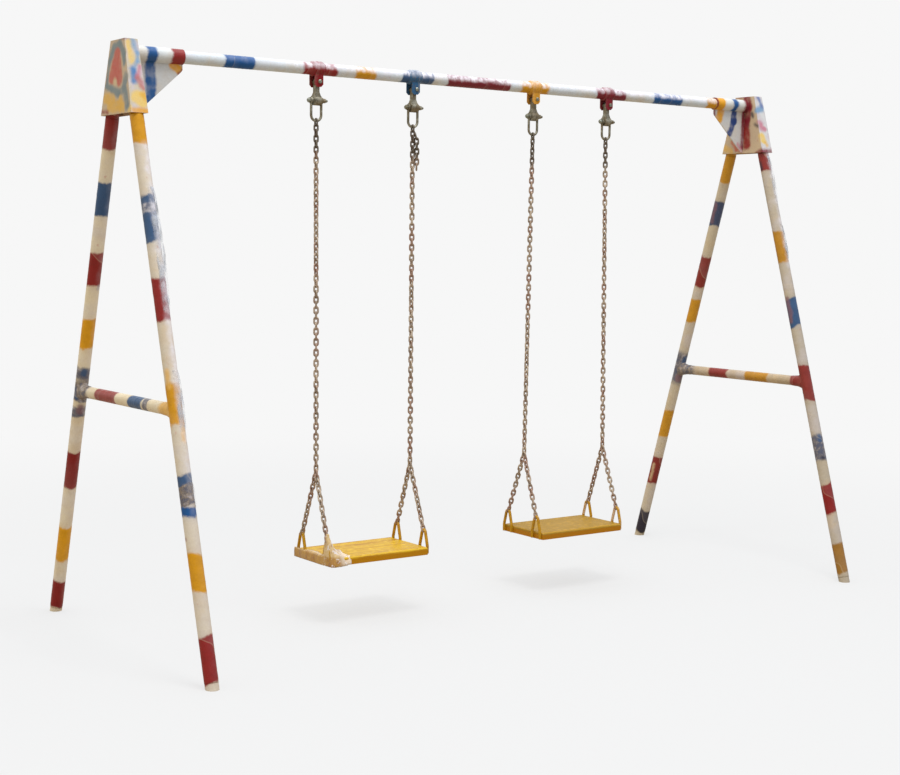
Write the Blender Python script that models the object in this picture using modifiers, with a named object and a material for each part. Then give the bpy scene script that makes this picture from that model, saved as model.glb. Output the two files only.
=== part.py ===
"""Two-bay steel swing set: painted A-frames, top beam, four shackle hangers,
chains with two-leg bridles and two pan seats.  Metres, +Z up, floor at z = 0.
X runs along the top beam, -Y is the front, the origin is on the floor
under the middle of the beam."""
import math

import bmesh
import bpy
from mathutils import Matrix, Vector

# ------------------------------------------------------------ driving sizes
GAP = 0.0003                 # clearance between touching pieces

FRAME_X = 1.692              # beam centre to each A-frame plane
BEAM_Z = 2.300               # height of the beam axis
BEAM_RADIUS = 0.02415
BEAM_WALL = 0.0032
BEAM_HALF_LENGTH = 1.660

LEG_RADIUS = 0.0254
LEG_WALL = 0.0030
LEG_FOOT_Y = 0.723           # half spread of the leg axes at the floor
LEG_TOP_Y = 0.038            # half spread of the leg axes at beam height
LEG_LENGTH = 2.328           # floor to the cut end inside the head
FOOT_DISC = 0.012            # closed length at the foot, along the leg

CROSSBAR_RADIUS = 0.0230
CROSSBAR_WALL = 0.0026
CROSSBAR_Z = {"left": 0.972, "right": 0.942}

HEAD_BOTTOM_Z = 2.066
HEAD_TOP_Z = 2.346
HEAD_BOTTOM_HALF = (0.035, 0.138)
HEAD_TOP_HALF = (0.026, 0.064)
HEAD_WALL = 0.0025

SOCKET_RADIUS = 0.03015
SOCKET_NEAR = 0.0292         # distances from the A-frame plane
SOCKET_FAR = 0.243
GUSSET_THICKNESS = 0.006
GUSSET_OUTLINE = ((0.0292, 2.2693), (0.0360, 2.0690), (0.0440, 2.0690),
                  (0.2380, 2.2430), (0.2430, 2.2500), (0.2430, 2.2693))

HANGER_X = (-0.842, -0.359, 0.303, 0.742)
STRAP_WIDTH = 0.040
STRAP_THICKNESS = 0.005
LUG_Y = 0.0205               # mid plane of each lug below the beam
LUG_BOTTOM_Z = 2.226
LUG_CORNER = 0.010           # chamfer at the lower corner of each lug
BOLT_Z = 2.248
BOLT_SHIFT_X = 0.004
BOLT_RADIUS = 0.005
BOLT_HEAD_RADIUS = 0.0085
BOLT_HEAD_HEIGHT = 0.006
BOLT_TIP = 0.004             # bolt end standing out of its nut
HEAD_SHOULDER = 0.6          # straight share of a bolt or pin head's height
HEAD_CROWN = 0.6             # flat share of its radius on top
NUT_HEIGHT = 0.007
HOLE_CLEARANCE = 0.0003

PIN_Z = 2.172                # swing axis, through the shackle pins
PIN_RADIUS = 0.006
PIN_HEAD_RADIUS = 0.010
PIN_HEAD_HEIGHT = 0.012
PIN_NUT_HEIGHT = 0.012
PIN_TIP = 0.053              # free end of the pin beyond the hanger centre
PIN_POINT = (0.7, 0.003)     # radius share and length of its chamfered end
LINK_EYE_RADIUS = 0.0205
LINK_EYE_HALF = 0.0182
LINK_STEM = (0.017, 0.024)    # section of the straight stem, X by Y
LINK_FLARE_FOOT = (0.0350, 0.034)
LINK_FLARE_Z = (0.006, 0.034)  # flare above the swing axis
LINK_STEM_LAP = 0.002        # stem let into the flare
LINK_STEM_SHORT = 0.004      # stem end below the bolt axis
LINK_BOSS_RADIUS = 0.0135
LINK_BOSS_HALF = 0.0177

SHACKLE_ROD = 0.0055
SHACKLE_HALF_WIDTH = 0.0240  # rod axis to the shackle centre
SHACKLE_BOTTOM_Z = 2.0885    # rod axis at the bottom of the bow
SHACKLE_EAR_RADIUS = 0.0125

CHAIN_RADIUS = 0.0075
TAIL_BOTTOM_Z = 1.903
TAIL_SHIFT_X = 0.024
SEAT_AXIS_Z = 0.621          # seat axis, through the centres of the bridle bends
BRIDLE_RADIUS = 0.0070
BRIDLE_BEND = 0.012
BRIDLE_REST = 0.004          # bridle end above its contact with the loop
APEX_X = 0.2395              # bridle tops from the seat centre
CHAIN_REST = 0.0002          # extra gap between a chain and its bridle

SEAT_CENTRE_X = {"left": -0.592, "right": 0.5265}
SEAT_HALF_LENGTH = 0.239
SEAT_HALF_WIDTH = 0.148
SEAT_TOP_Z = 0.281
SEAT_BOTTOM_Z = 0.249
SEAT_SHEET = 0.003
SEAT_NOSE = 0.011            # bend radius along the front and back edges
SEAT_CORNER = 0.004

LOOP_ROD = 0.0055
LOOP_Y = 0.105
LOOP_TOP_Z = 0.352
LOOP_SHOULDER_Z = 0.285
LOOP_FOOT_Z = 0.252
LOOP_HALF_SPREAD = 0.028
LOOP_BEND = 0.013
LOOP_X = SEAT_HALF_LENGTH + GAP + LOOP_ROD

SIDES = {"left": -1, "right": 1}
ENDS = {"front": -1, "rear": 1}
LEG_TILT = math.atan2(LEG_FOOT_Y - LEG_TOP_Y, BEAM_Z)

ROUND = 32                   # segments of the large tubes
SMALL_ROUND = 20             # segments of pins, bolts and bosses
EYE_ROUND = 28
CHAIN_ROUND = 12
HEX = 6
STRAP_STEPS = 30             # steps of the bends
BOW_STEPS = 12
BEND_STEPS = 8
NOSE_STEPS = 5
CORNER_STEPS = 2
BOW_FINENESS = 3             # bevel resolution of the round bars
ROD_FINENESS = 2
NEAR = 0.0001                # two sizes closer than this are the same
MERGE = 0.00005              # points closer than this are joined by modifiers
MERGE_NEAR = 0.00001         # and by the mesh tools
FACING = 0.9                 # a face counts as level above this share of its normal
FLOOR_TOOL_HALF = (2.2, 1.0)
FLOOR_TOOL_DEPTH = 0.2
LEG_OVERRUN = 0.03           # leg drawn past the floor before it is cut level
DRILL_HALF = 0.08
ALONG_X = (0.0, math.radians(90.0), 0.0)
ALONG_Y = (math.radians(-90.0), 0.0, 0.0)

# ------------------------------------------------------------------- scene
for old in list(bpy.data.objects):
    bpy.data.objects.remove(old, do_unlink=True)

parts = bpy.data.collections.new("swing_set")
cutters = bpy.data.collections.new("cutters")
bpy.context.scene.collection.children.link(parts)
bpy.context.scene.collection.children.link(cutters)


def paint(name, colour, roughness, metallic):
    mat = bpy.data.materials.new(name)
    mat.use_nodes = True
    shader = mat.node_tree.nodes["Principled BSDF"]
    shader.inputs["Base Color"].default_value = (*colour, 1.0)
    shader.inputs["Roughness"].default_value = roughness
    shader.inputs["Metallic"].default_value = metallic
    mat.diffuse_color = (*colour, 1.0)
    return mat


FRAME_PAINT = paint("frame_paint_cream", (0.72, 0.66, 0.54), 0.45, 0.0)
STRAP_PAINT = (paint("strap_paint_red", (0.26, 0.016, 0.02), 0.45, 0.0),
               paint("strap_paint_blue", (0.02, 0.08, 0.24), 0.45, 0.0),
               paint("strap_paint_yellow", (0.62, 0.36, 0.03), 0.45, 0.0),
               paint("strap_paint_red_2", (0.26, 0.016, 0.02), 0.45, 0.0))
HARDWARE = paint("galvanised_hardware", (0.20, 0.20, 0.14), 0.55, 0.85)
CHAIN_STEEL = paint("chain_steel", (0.24, 0.20, 0.15), 0.55, 0.85)
SEAT_PAINT = {"left": paint("seat_paint_yellow", (0.72, 0.45, 0.05), 0.40, 0.0),
              "right": paint("seat_paint_mustard", (0.52, 0.33, 0.08), 0.50, 0.0)}
LOOP_PAINT = paint("loop_paint_yellow", (0.55, 0.28, 0.02), 0.45, 0.0)


def place(name, mesh, mat, location=(0.0, 0.0, 0.0), rotation=(0.0, 0.0, 0.0)):
    """Put a finished mesh into the parts collection."""
    obj = bpy.data.objects.new(name, mesh)
    obj.location = location
    obj.rotation_euler = rotation
    mesh.materials.append(mat)
    parts.objects.link(obj)
    return obj


def tool(name, mesh, location=(0.0, 0.0, 0.0), rotation=(0.0, 0.0, 0.0)):
    """Put a Boolean operand into the cutters collection."""
    obj = bpy.data.objects.new(name, mesh)
    obj.location = location
    obj.rotation_euler = rotation
    obj.hide_render = True
    obj.display_type = "WIRE"
    cutters.objects.link(obj)
    return obj


def boolean(obj, operand, operation):
    mod = obj.modifiers.new(operation.lower() + "_" + operand.name, "BOOLEAN")
    mod.solver = "EXACT"
    mod.operation = operation
    mod.object = operand


def solidify(obj, thickness, offset=-1.0):
    mod = obj.modifiers.new("wall", "SOLIDIFY")
    mod.thickness = thickness
    mod.offset = offset
    mod.use_even_offset = True


def cylinder(name, radius, low, high, segments=ROUND, capped=True):
    """Cylinder about local Z between two heights."""
    mesh = bpy.data.meshes.new(name)
    bm = bmesh.new()
    middle = Matrix.Translation((0.0, 0.0, (low + high) / 2.0))
    bmesh.ops.create_cone(bm, cap_ends=capped, segments=segments, radius1=radius,
                          radius2=radius, depth=high - low, matrix=middle)
    bm.to_mesh(mesh)
    bm.free()
    return mesh


def turned(name, profile, mat, location, rotation):
    """Solid of revolution about local Z from (radius, z) points, top to bottom."""
    mesh = bpy.data.meshes.new(name)
    bm = bmesh.new()
    points = [bm.verts.new((radius, 0.0, z)) for radius, z in profile]
    for upper, lower in zip(points, points[1:]):
        bm.edges.new((upper, lower))
    bm.to_mesh(mesh)
    bm.free()
    obj = place(name, mesh, mat, location, rotation)
    mod = obj.modifiers.new("turn", "SCREW")
    mod.axis = "Z"
    mod.angle = math.tau
    mod.steps = SMALL_ROUND
    mod.render_steps = SMALL_ROUND
    mod.use_merge_vertices = True
    mod.merge_threshold = MERGE
    return obj


def rod_mesh(name, points, radius, resolution):
    """Round bar along a run of points, with closed ends."""
    curve = bpy.data.curves.new(name + "_path", "CURVE")
    curve.dimensions = "3D"
    curve.bevel_depth = radius
    curve.bevel_resolution = resolution
    curve.use_fill_caps = True
    spline = curve.splines.new("POLY")
    spline.points.add(len(points) - 1)
    for point, position in zip(spline.points, points):
        point.co = (*position, 1.0)
    return curve_to_mesh(name, curve)


def plate_mesh(name, outline, thickness):
    """Flat plate in local XY, thickness centred on Z."""
    curve = bpy.data.curves.new(name + "_outline", "CURVE")
    curve.dimensions = "2D"
    curve.fill_mode = "BOTH"
    curve.extrude = thickness / 2.0
    spline = curve.splines.new("POLY")
    spline.points.add(len(outline) - 1)
    for point, (x, y) in zip(spline.points, outline):
        point.co = (x, y, 0.0, 1.0)
    spline.use_cyclic_u = True
    return curve_to_mesh(name, curve)


def curve_to_mesh(name, curve):
    holder = bpy.data.objects.new(name + "_holder", curve)
    bpy.context.scene.collection.objects.link(holder)
    graph = bpy.context.evaluated_depsgraph_get()
    mesh = bpy.data.meshes.new_from_object(holder.evaluated_get(graph))
    mesh.name = name
    mesh.materials.clear()
    bpy.data.objects.remove(holder, do_unlink=True)
    bpy.data.curves.remove(curve)
    bm = bmesh.new()
    bm.from_mesh(mesh)
    bmesh.ops.remove_doubles(bm, verts=bm.verts[:], dist=MERGE_NEAR)
    bmesh.ops.recalc_face_normals(bm, faces=bm.faces[:])
    bm.to_mesh(mesh)
    bm.free()
    return mesh


def arc(centre, radius, start, end, count):
    """Points (u, v) on an arc, angles in degrees."""
    points = []
    for index in range(count + 1):
        angle = math.radians(start + (end - start) * index / count)
        points.append((centre[0] + radius * math.cos(angle),
                       centre[1] + radius * math.sin(angle)))
    return points


def tapered_block(name, bottom_half, top_half, low, high, open_bottom):
    """Four-sided block whose top is scaled; optionally without its floor."""
    mesh = bpy.data.meshes.new(name)
    bm = bmesh.new()
    bmesh.ops.create_cube(bm, size=2.0)
    for vert in bm.verts:
        half = top_half if vert.co.z > 0.0 else bottom_half
        height = high if vert.co.z > 0.0 else low
        vert.co = (vert.co.x * half[0], vert.co.y * half[1], height)
    if open_bottom:
        bm.normal_update()
        floor = [face for face in bm.faces if face.normal.z < -FACING]
        bmesh.ops.delete(bm, geom=floor, context="FACES")
    bm.to_mesh(mesh)
    bm.free()
    return mesh


# ------------------------------------------------------------- A-frames
def leg_y(height):
    """Distance of a leg axis from the middle plane at a height."""
    return LEG_FOOT_Y - (LEG_FOOT_Y - LEG_TOP_Y) * height / BEAM_Z


floor_mesh = tapered_block("floor_tool", FLOOR_TOOL_HALF, FLOOR_TOOL_HALF,
                           -FLOOR_TOOL_DEPTH, 0.0, False)
floor_tool = tool("floor_tool", floor_mesh)

for side, x_sign in SIDES.items():
    x = x_sign * FRAME_X
    coped = []
    for end, y_sign in ENDS.items():
        foot = (x, y_sign * LEG_FOOT_Y, 0.0)
        tilt = (y_sign * LEG_TILT, 0.0, 0.0)
        name = "leg_" + side + "_" + end
        leg = place(name, cylinder(name, LEG_RADIUS, -LEG_OVERRUN, LEG_LENGTH),
                    FRAME_PAINT, foot, tilt)
        bore = cylinder(name + "_bore", LEG_RADIUS - LEG_WALL, FOOT_DISC, LEG_LENGTH + LEG_OVERRUN)
        boolean(leg, floor_tool, "DIFFERENCE")
        boolean(leg, tool(name + "_bore", bore, foot, tilt), "DIFFERENCE")
        cope = cylinder(name + "_cope", LEG_RADIUS + GAP, 0.0, LEG_LENGTH)
        coped.append(tool(name + "_cope", cope, foot, tilt))

    height = CROSSBAR_Z[side]
    reach = leg_y(height)
    name = "crossbar_" + side
    bar = place(name, cylinder(name, CROSSBAR_RADIUS, -reach, reach, ROUND, False),
                FRAME_PAINT, (x, 0.0, height), ALONG_Y)
    solidify(bar, CROSSBAR_WALL)
    for cope in coped:
        boolean(bar, cope, "DIFFERENCE")

    name = "head_" + side
    shell = tapered_block(name, HEAD_BOTTOM_HALF, HEAD_TOP_HALF, HEAD_BOTTOM_Z, HEAD_TOP_Z, True)
    head = place(name, shell, FRAME_PAINT, (x, 0.0, 0.0))
    solidify(head, HEAD_WALL)

    name = "beam_socket_" + side
    ends = sorted((-x_sign * SOCKET_NEAR, -x_sign * SOCKET_FAR))
    socket = place(name, cylinder(name, SOCKET_RADIUS, ends[0], ends[1], ROUND, False),
                   FRAME_PAINT, (x, 0.0, BEAM_Z), ALONG_X)
    solidify(socket, SOCKET_RADIUS - BEAM_RADIUS - GAP)

    name = "gusset_" + side
    outline = [(-x_sign * u, v) for u, v in GUSSET_OUTLINE]
    place(name, plate_mesh(name, outline, GUSSET_THICKNESS), FRAME_PAINT,
          (x, 0.0, 0.0), (math.radians(90.0), 0.0, 0.0))

beam_shell = cylinder("top_beam", BEAM_RADIUS, -BEAM_HALF_LENGTH, BEAM_HALF_LENGTH, ROUND, False)
beam = place("top_beam", beam_shell, FRAME_PAINT, (0.0, 0.0, BEAM_Z), ALONG_X)
solidify(beam, BEAM_WALL)


# -------------------------------------------------------------- hangers
def strap_mesh(name):
    """Open strip over the beam with two lugs, middle surface, local origin on the beam axis."""
    radius = BEAM_RADIUS + GAP + STRAP_THICKNESS / 2.0
    dip = math.degrees(math.acos(LUG_Y / radius))
    over = arc((0.0, 0.0), radius, -dip, 180.0 + dip, STRAP_STEPS)
    lug = LUG_BOTTOM_Z - BEAM_Z
    rows = [(LUG_Y, lug), (LUG_Y, lug + LUG_CORNER)] + over
    rows += [(-LUG_Y, lug + LUG_CORNER), (-LUG_Y, lug)]
    half = STRAP_WIDTH / 2.0
    mesh = bpy.data.meshes.new(name)
    bm = bmesh.new()
    line = []
    for index, (y, z) in enumerate(rows):
        inset = LUG_CORNER if index in (0, len(rows) - 1) else 0.0
        line.append((bm.verts.new((-half + inset, y, z)), half - inset))
    edges = [bm.edges.new((line[i][0], line[i + 1][0])) for i in range(len(line) - 1)]
    grown = bmesh.ops.extrude_edge_only(bm, edges=edges)
    for vert in [item for item in grown["geom"] if isinstance(item, bmesh.types.BMVert)]:
        vert.co.x = -vert.co.x
    bmesh.ops.recalc_face_normals(bm, faces=bm.faces[:])
    bm.normal_update()
    outward = max(bm.faces, key=lambda face: face.calc_center_median().z)
    if outward.normal.z < 0.0:
        bmesh.ops.reverse_faces(bm, faces=bm.faces[:])
    bm.to_mesh(mesh)
    bm.free()
    return mesh


def shackle_path():
    drop = SHACKLE_BOTTOM_Z - PIN_Z
    bow = arc((0.0, drop + SHACKLE_HALF_WIDTH), SHACKLE_HALF_WIDTH, 180.0, 360.0, BOW_STEPS)
    path = [(-SHACKLE_HALF_WIDTH, 0.0)] + bow + [(SHACKLE_HALF_WIDTH, 0.0)]
    return [(u, 0.0, v) for u, v in path]


def ear_mesh(name):
    """Two round ears about local X, one at each side of the shackle."""
    mesh = bpy.data.meshes.new(name)
    bm = bmesh.new()
    turn = Matrix.Rotation(math.radians(90.0), 4, "Y")
    for sign in (-1, 1):
        spot = Matrix.Translation((sign * SHACKLE_HALF_WIDTH, 0.0, 0.0)) @ turn
        bmesh.ops.create_cone(bm, cap_ends=True, segments=SMALL_ROUND, depth=2 * SHACKLE_ROD,
                              radius1=SHACKLE_EAR_RADIUS, radius2=SHACKLE_EAR_RADIUS, matrix=spot)
    bm.to_mesh(mesh)
    bm.free()
    return mesh


ear_face = SHACKLE_HALF_WIDTH + SHACKLE_ROD + GAP
lug_face = LUG_Y + STRAP_THICKNESS / 2.0 + GAP
bolt_end = lug_face + NUT_HEIGHT + BOLT_TIP

for index, hanger_x in enumerate(HANGER_X):
    tag = "hanger_" + str(index + 1)
    on_beam = (hanger_x, 0.0, BEAM_Z)
    bolt_at = (hanger_x + BOLT_SHIFT_X, 0.0, BOLT_Z)
    pin_at = (hanger_x, 0.0, PIN_Z)

    bolt_hole = cylinder(tag + "_bolt_hole", BOLT_RADIUS + HOLE_CLEARANCE,
                         -DRILL_HALF, DRILL_HALF, SMALL_ROUND)
    bolt_tool = tool(tag + "_bolt_hole", bolt_hole, bolt_at, ALONG_Y)
    pin_hole = cylinder(tag + "_pin_hole", PIN_RADIUS + HOLE_CLEARANCE,
                        -DRILL_HALF, DRILL_HALF, SMALL_ROUND)
    pin_tool = tool(tag + "_pin_hole", pin_hole, pin_at, ALONG_X)

    strap = place(tag + "_strap", strap_mesh(tag + "_strap"), STRAP_PAINT[index], on_beam)
    solidify(strap, STRAP_THICKNESS, 0.0)
    boolean(strap, bolt_tool, "DIFFERENCE")

    turned(tag + "_bolt",
           ((0.0, bolt_end), (BOLT_RADIUS, bolt_end),
            (BOLT_RADIUS, -lug_face), (BOLT_HEAD_RADIUS, -lug_face),
            (BOLT_HEAD_RADIUS, -lug_face - HEAD_SHOULDER * BOLT_HEAD_HEIGHT),
            (HEAD_CROWN * BOLT_HEAD_RADIUS, -lug_face - BOLT_HEAD_HEIGHT),
            (0.0, -lug_face - BOLT_HEAD_HEIGHT)),
           HARDWARE, bolt_at, ALONG_Y)
    nut = cylinder(tag + "_nut", BOLT_HEAD_RADIUS, lug_face, lug_face + NUT_HEIGHT, HEX)
    boolean(place(tag + "_nut", nut, HARDWARE, bolt_at, ALONG_Y), bolt_tool, "DIFFERENCE")

    eye = cylinder(tag + "_link", LINK_EYE_RADIUS, -LINK_EYE_HALF, LINK_EYE_HALF, EYE_ROUND)
    link = place(tag + "_link", eye, HARDWARE, pin_at, ALONG_X)
    flare_foot = tuple(size / 2.0 for size in LINK_FLARE_FOOT)
    stem_half = tuple(size / 2.0 for size in LINK_STEM)
    flare = tapered_block(tag + "_flare", flare_foot, stem_half, *LINK_FLARE_Z, False)
    boolean(link, tool(tag + "_flare", flare, pin_at), "UNION")
    stem = tapered_block(tag + "_stem", stem_half, stem_half, LINK_FLARE_Z[1] - LINK_STEM_LAP,
                         BOLT_Z - PIN_Z - LINK_STEM_SHORT, False)
    boolean(link, tool(tag + "_stem", stem, pin_at), "UNION")
    boss = cylinder(tag + "_boss", LINK_BOSS_RADIUS, -LINK_BOSS_HALF, LINK_BOSS_HALF, SMALL_ROUND)
    boolean(link, tool(tag + "_boss", boss, bolt_at, ALONG_Y), "UNION")
    boolean(link, bolt_tool, "DIFFERENCE")
    boolean(link, pin_tool, "DIFFERENCE")

    bow = rod_mesh(tag + "_shackle", shackle_path(), SHACKLE_ROD, BOW_FINENESS)
    shackle = place(tag + "_shackle", bow, HARDWARE, pin_at)
    boolean(shackle, tool(tag + "_ears", ear_mesh(tag + "_ears"), pin_at), "UNION")
    boolean(shackle, pin_tool, "DIFFERENCE")

    turned(tag + "_pin",
           ((0.0, PIN_TIP), (PIN_POINT[0] * PIN_RADIUS, PIN_TIP),
            (PIN_RADIUS, PIN_TIP - PIN_POINT[1]),
            (PIN_RADIUS, -ear_face), (PIN_HEAD_RADIUS, -ear_face),
            (PIN_HEAD_RADIUS, -ear_face - HEAD_SHOULDER * PIN_HEAD_HEIGHT),
            (HEAD_CROWN * PIN_HEAD_RADIUS, -ear_face - PIN_HEAD_HEIGHT),
            (0.0, -ear_face - PIN_HEAD_HEIGHT)),
           HARDWARE, pin_at, ALONG_X)
    nut = cylinder(tag + "_pin_nut", PIN_HEAD_RADIUS, ear_face, ear_face + PIN_NUT_HEIGHT, HEX)
    boolean(place(tag + "_pin_nut", nut, HARDWARE, pin_at, ALONG_X), pin_tool, "DIFFERENCE")


# --------------------------------------------------------------- chains
def bar_between(name, top, bottom, radius, mat):
    """Plain round stand-in for a run of chain, origin at its top."""
    run = Vector(bottom) - Vector(top)
    turn = Vector((0.0, 0.0, -1.0)).rotation_difference(run).to_euler()
    return place(name, cylinder(name, radius, -run.length, 0.0, CHAIN_ROUND), mat, top, turn)


chain_top = SHACKLE_BOTTOM_Z - SHACKLE_ROD - GAP
apex_top = SEAT_AXIS_Z + BRIDLE_BEND + BRIDLE_RADIUS + GAP
loop_contact = LOOP_TOP_Z + LOOP_ROD + GAP

apex_x = []
for side in SIDES:
    apex_x += [SEAT_CENTRE_X[side] - APEX_X, SEAT_CENTRE_X[side] + APEX_X]

for index, (hanger_x, low_x) in enumerate(zip(HANGER_X, apex_x)):
    name = "chain_" + str(index + 1)
    bar_between(name, (hanger_x, 0.0, chain_top), (low_x, 0.0, apex_top + CHAIN_REST),
                CHAIN_RADIUS, CHAIN_STEEL)
    drop = loop_contact + BRIDLE_REST - SEAT_AXIS_Z
    lean = LOOP_X - APEX_X if index % 2 else APEX_X - LOOP_X
    slope = math.degrees(math.atan2(-drop, LOOP_Y))
    bend = arc((0.0, 0.0), BRIDLE_BEND, 90.0 + slope, 90.0 - slope, BEND_STEPS)
    legs = [(lean, -LOOP_Y, drop)] + [(0.0, y, z) for y, z in bend] + [(lean, LOOP_Y, drop)]
    name = "bridle_" + str(index + 1)
    place(name, rod_mesh(name, legs, BRIDLE_RADIUS, ROD_FINENESS), CHAIN_STEEL,
          (low_x, 0.0, SEAT_AXIS_Z))

tail_x = HANGER_X[1] + TAIL_SHIFT_X
bar_between("chain_2_tail", (tail_x, 0.0, chain_top), (tail_x, 0.0, TAIL_BOTTOM_Z),
            CHAIN_RADIUS, CHAIN_STEEL)


# ---------------------------------------------------------------- seats
def seat_shell(name):
    """Folded pan, open below, local origin on the seat axis."""
    mesh = tapered_block(name, (SEAT_HALF_LENGTH, SEAT_HALF_WIDTH),
                         (SEAT_HALF_LENGTH, SEAT_HALF_WIDTH),
                         SEAT_BOTTOM_Z - SEAT_AXIS_Z, SEAT_TOP_Z - SEAT_AXIS_Z, True)
    bm = bmesh.new()
    bm.from_mesh(mesh)
    top = SEAT_TOP_Z - SEAT_AXIS_Z
    long_edges = [e for e in bm.edges
                  if min(v.co.z for v in e.verts) > top - NEAR
                  and abs(e.verts[0].co.x - e.verts[1].co.x) > SEAT_HALF_LENGTH]
    bmesh.ops.bevel(bm, geom=long_edges, offset=SEAT_NOSE, segments=NOSE_STEPS, profile=0.5,
                    affect="EDGES", clamp_overlap=True)
    upright = [e for e in bm.edges
               if e.is_manifold and len(e.link_faces) == 2
               and abs(abs(e.verts[0].co.x) - SEAT_HALF_LENGTH) < NEAR
               and abs(abs(e.verts[1].co.x) - SEAT_HALF_LENGTH) < NEAR
               and e.verts[0].co.x * e.verts[1].co.x > 0.0]
    bmesh.ops.bevel(bm, geom=upright, offset=SEAT_CORNER, segments=CORNER_STEPS, profile=0.5,
                    affect="EDGES", clamp_overlap=True)
    bm.to_mesh(mesh)
    bm.free()
    return mesh


def loop_path():
    """Inverted V with a round top, on the plane of the seat end."""
    base = LOOP_SHOULDER_Z - SEAT_AXIS_Z
    crown = (0.0, LOOP_TOP_Z - LOOP_BEND - SEAT_AXIS_Z)
    rise = crown[1] - base
    reach_out = math.hypot(LOOP_HALF_SPREAD, rise)
    turn = math.degrees(math.acos(LOOP_BEND / reach_out) - math.atan2(rise, LOOP_HALF_SPREAD))
    path = [(-LOOP_HALF_SPREAD, LOOP_FOOT_Z - SEAT_AXIS_Z), (-LOOP_HALF_SPREAD, base)]
    path += arc(crown, LOOP_BEND, 180.0 - turn, turn, BEND_STEPS)
    path += [(LOOP_HALF_SPREAD, base), (LOOP_HALF_SPREAD, LOOP_FOOT_Z - SEAT_AXIS_Z)]
    return [(0.0, y, z) for y, z in path]


for side in SIDES:
    centre = SEAT_CENTRE_X[side]
    name = "seat_" + side
    seat = place(name, seat_shell(name), SEAT_PAINT[side], (centre, 0.0, SEAT_AXIS_Z))
    solidify(seat, SEAT_SHEET)
    for hand, x_sign in SIDES.items():
        for end, y_sign in ENDS.items():
            name = "seat_" + side + "_loop_" + hand + "_" + end
            place(name, rod_mesh(name, loop_path(), LOOP_ROD, ROD_FINENESS), LOOP_PAINT,
                  (centre + x_sign * LOOP_X, y_sign * LOOP_Y, SEAT_AXIS_Z))
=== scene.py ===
import math
import random

import bpy
from mathutils import Matrix, Vector, noise


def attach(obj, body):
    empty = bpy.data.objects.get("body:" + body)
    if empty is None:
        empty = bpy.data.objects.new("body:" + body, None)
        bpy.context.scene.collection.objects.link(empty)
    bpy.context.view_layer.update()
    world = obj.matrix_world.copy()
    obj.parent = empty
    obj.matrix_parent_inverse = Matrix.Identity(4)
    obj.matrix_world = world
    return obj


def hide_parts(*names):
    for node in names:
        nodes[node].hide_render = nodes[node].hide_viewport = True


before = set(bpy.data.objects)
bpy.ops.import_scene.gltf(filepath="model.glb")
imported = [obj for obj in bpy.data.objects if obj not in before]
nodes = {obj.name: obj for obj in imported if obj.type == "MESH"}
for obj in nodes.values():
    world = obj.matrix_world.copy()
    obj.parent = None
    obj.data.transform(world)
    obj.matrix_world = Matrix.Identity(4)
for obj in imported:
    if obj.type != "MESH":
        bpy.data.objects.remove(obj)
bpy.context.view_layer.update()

TAU = math.tau

# ------------------------------------------------------------ places, in metres
FRAME_X = 1.692              # beam centre to each A-frame plane
BEAM_Z = 2.300
BEAM_R = 0.02415
LEG_R = 0.0254
LEG_FOOT_Y = 0.723
LEG_TOP_Y = 0.038
LEG_TILT = math.atan2(LEG_FOOT_Y - LEG_TOP_Y, BEAM_Z)
BAR_R = 0.0230
BAR_Z = {"left": 0.972, "right": 0.942}
SOCKET_R = 0.03015
HANGER_X = (-0.842, -0.359, 0.303, 0.742)
STRAP_HALF = 0.020
SHACKLE_LOW = 2.0885         # rod axis at the bottom of each shackle
SHACKLE_ROD = 0.0055
SEAT_X = {"left": -0.592, "right": 0.5265}
SEAT_HALF = (0.239, 0.148)
APEX_X = 0.2395              # bridle tops from the seat centre
SEAT_TOP = 0.281
SEAT_LOW = 0.249
LOOP_X = 0.2448              # loop plane from the seat centre
LOOP_Y = 0.105
LOOP_TOP = 0.352
LOOP_ROD = 0.0055
LOOP_SPREAD = 0.028
SIDES = {"left": -1, "right": 1}
ENDS = {"front": -1, "rear": 1}


def rgb(red, green, blue):
    """Linear colour from display values of 0 to 255."""
    out = []
    for value in (red, green, blue):
        value /= 255.0
        out.append(value / 12.92 if value <= 0.04045 else ((value + 0.055) / 1.055) ** 2.4)
    return (*out, 1.0)


CREAM = {("left", "rear"): rgb(234, 220, 190), ("left", "front"): rgb(216, 204, 184),
         ("right", "rear"): rgb(200, 186, 160), ("right", "front"): rgb(182, 170, 150)}
BAR_CREAM = {"left": rgb(226, 212, 182), "right": rgb(180, 160, 132)}
SOCKET_WHITE = rgb(216, 222, 224)
# colours of the heads' front faces: partly their paint, partly painted light
HEAD_FRONT_PAINT_AND_LIGHT = {"left": rgb(204, 196, 172), "right": rgb(216, 222, 226)}
RED = rgb(142, 28, 26)
DEEP_RED = rgb(136, 24, 22)
DULL_RED = rgb(136, 46, 40)
PALE_RED = rgb(146, 56, 52)
MAROON = rgb(124, 26, 40)
YELLOW = rgb(226, 160, 12)
BRIGHT_YELLOW = rgb(213, 150, 0)
AMBER = rgb(184, 130, 34)
SOFT_YELLOW = rgb(228, 178, 92)
DULL_YELLOW = rgb(204, 146, 36)
BROWN_YELLOW = rgb(158, 112, 42)
BLUE = rgb(54, 86, 126)
BRIGHT_BLUE = rgb(10, 82, 146)
DULL_BLUE = rgb(66, 78, 108)
NAVY = rgb(48, 44, 58)
INK = rgb(30, 62, 124)
GREY = rgb(116, 130, 134)
FADED = rgb(122, 116, 116)
MUDDY = rgb(138, 122, 104)
FILM = rgb(172, 170, 176)
SALMON = rgb(192, 88, 70)
OCHRE = rgb(224, 174, 66)
PALE_YELLOW = rgb(232, 198, 106)
PALE_BLUE = rgb(122, 160, 196)
PINK = rgb(198, 120, 140)
TAN = rgb(208, 182, 140)
LILAC = rgb(206, 200, 210)
DUSK = rgb(126, 92, 100)
SUN = Vector((0.66, -0.50, 0.56)).normalized()


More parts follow.
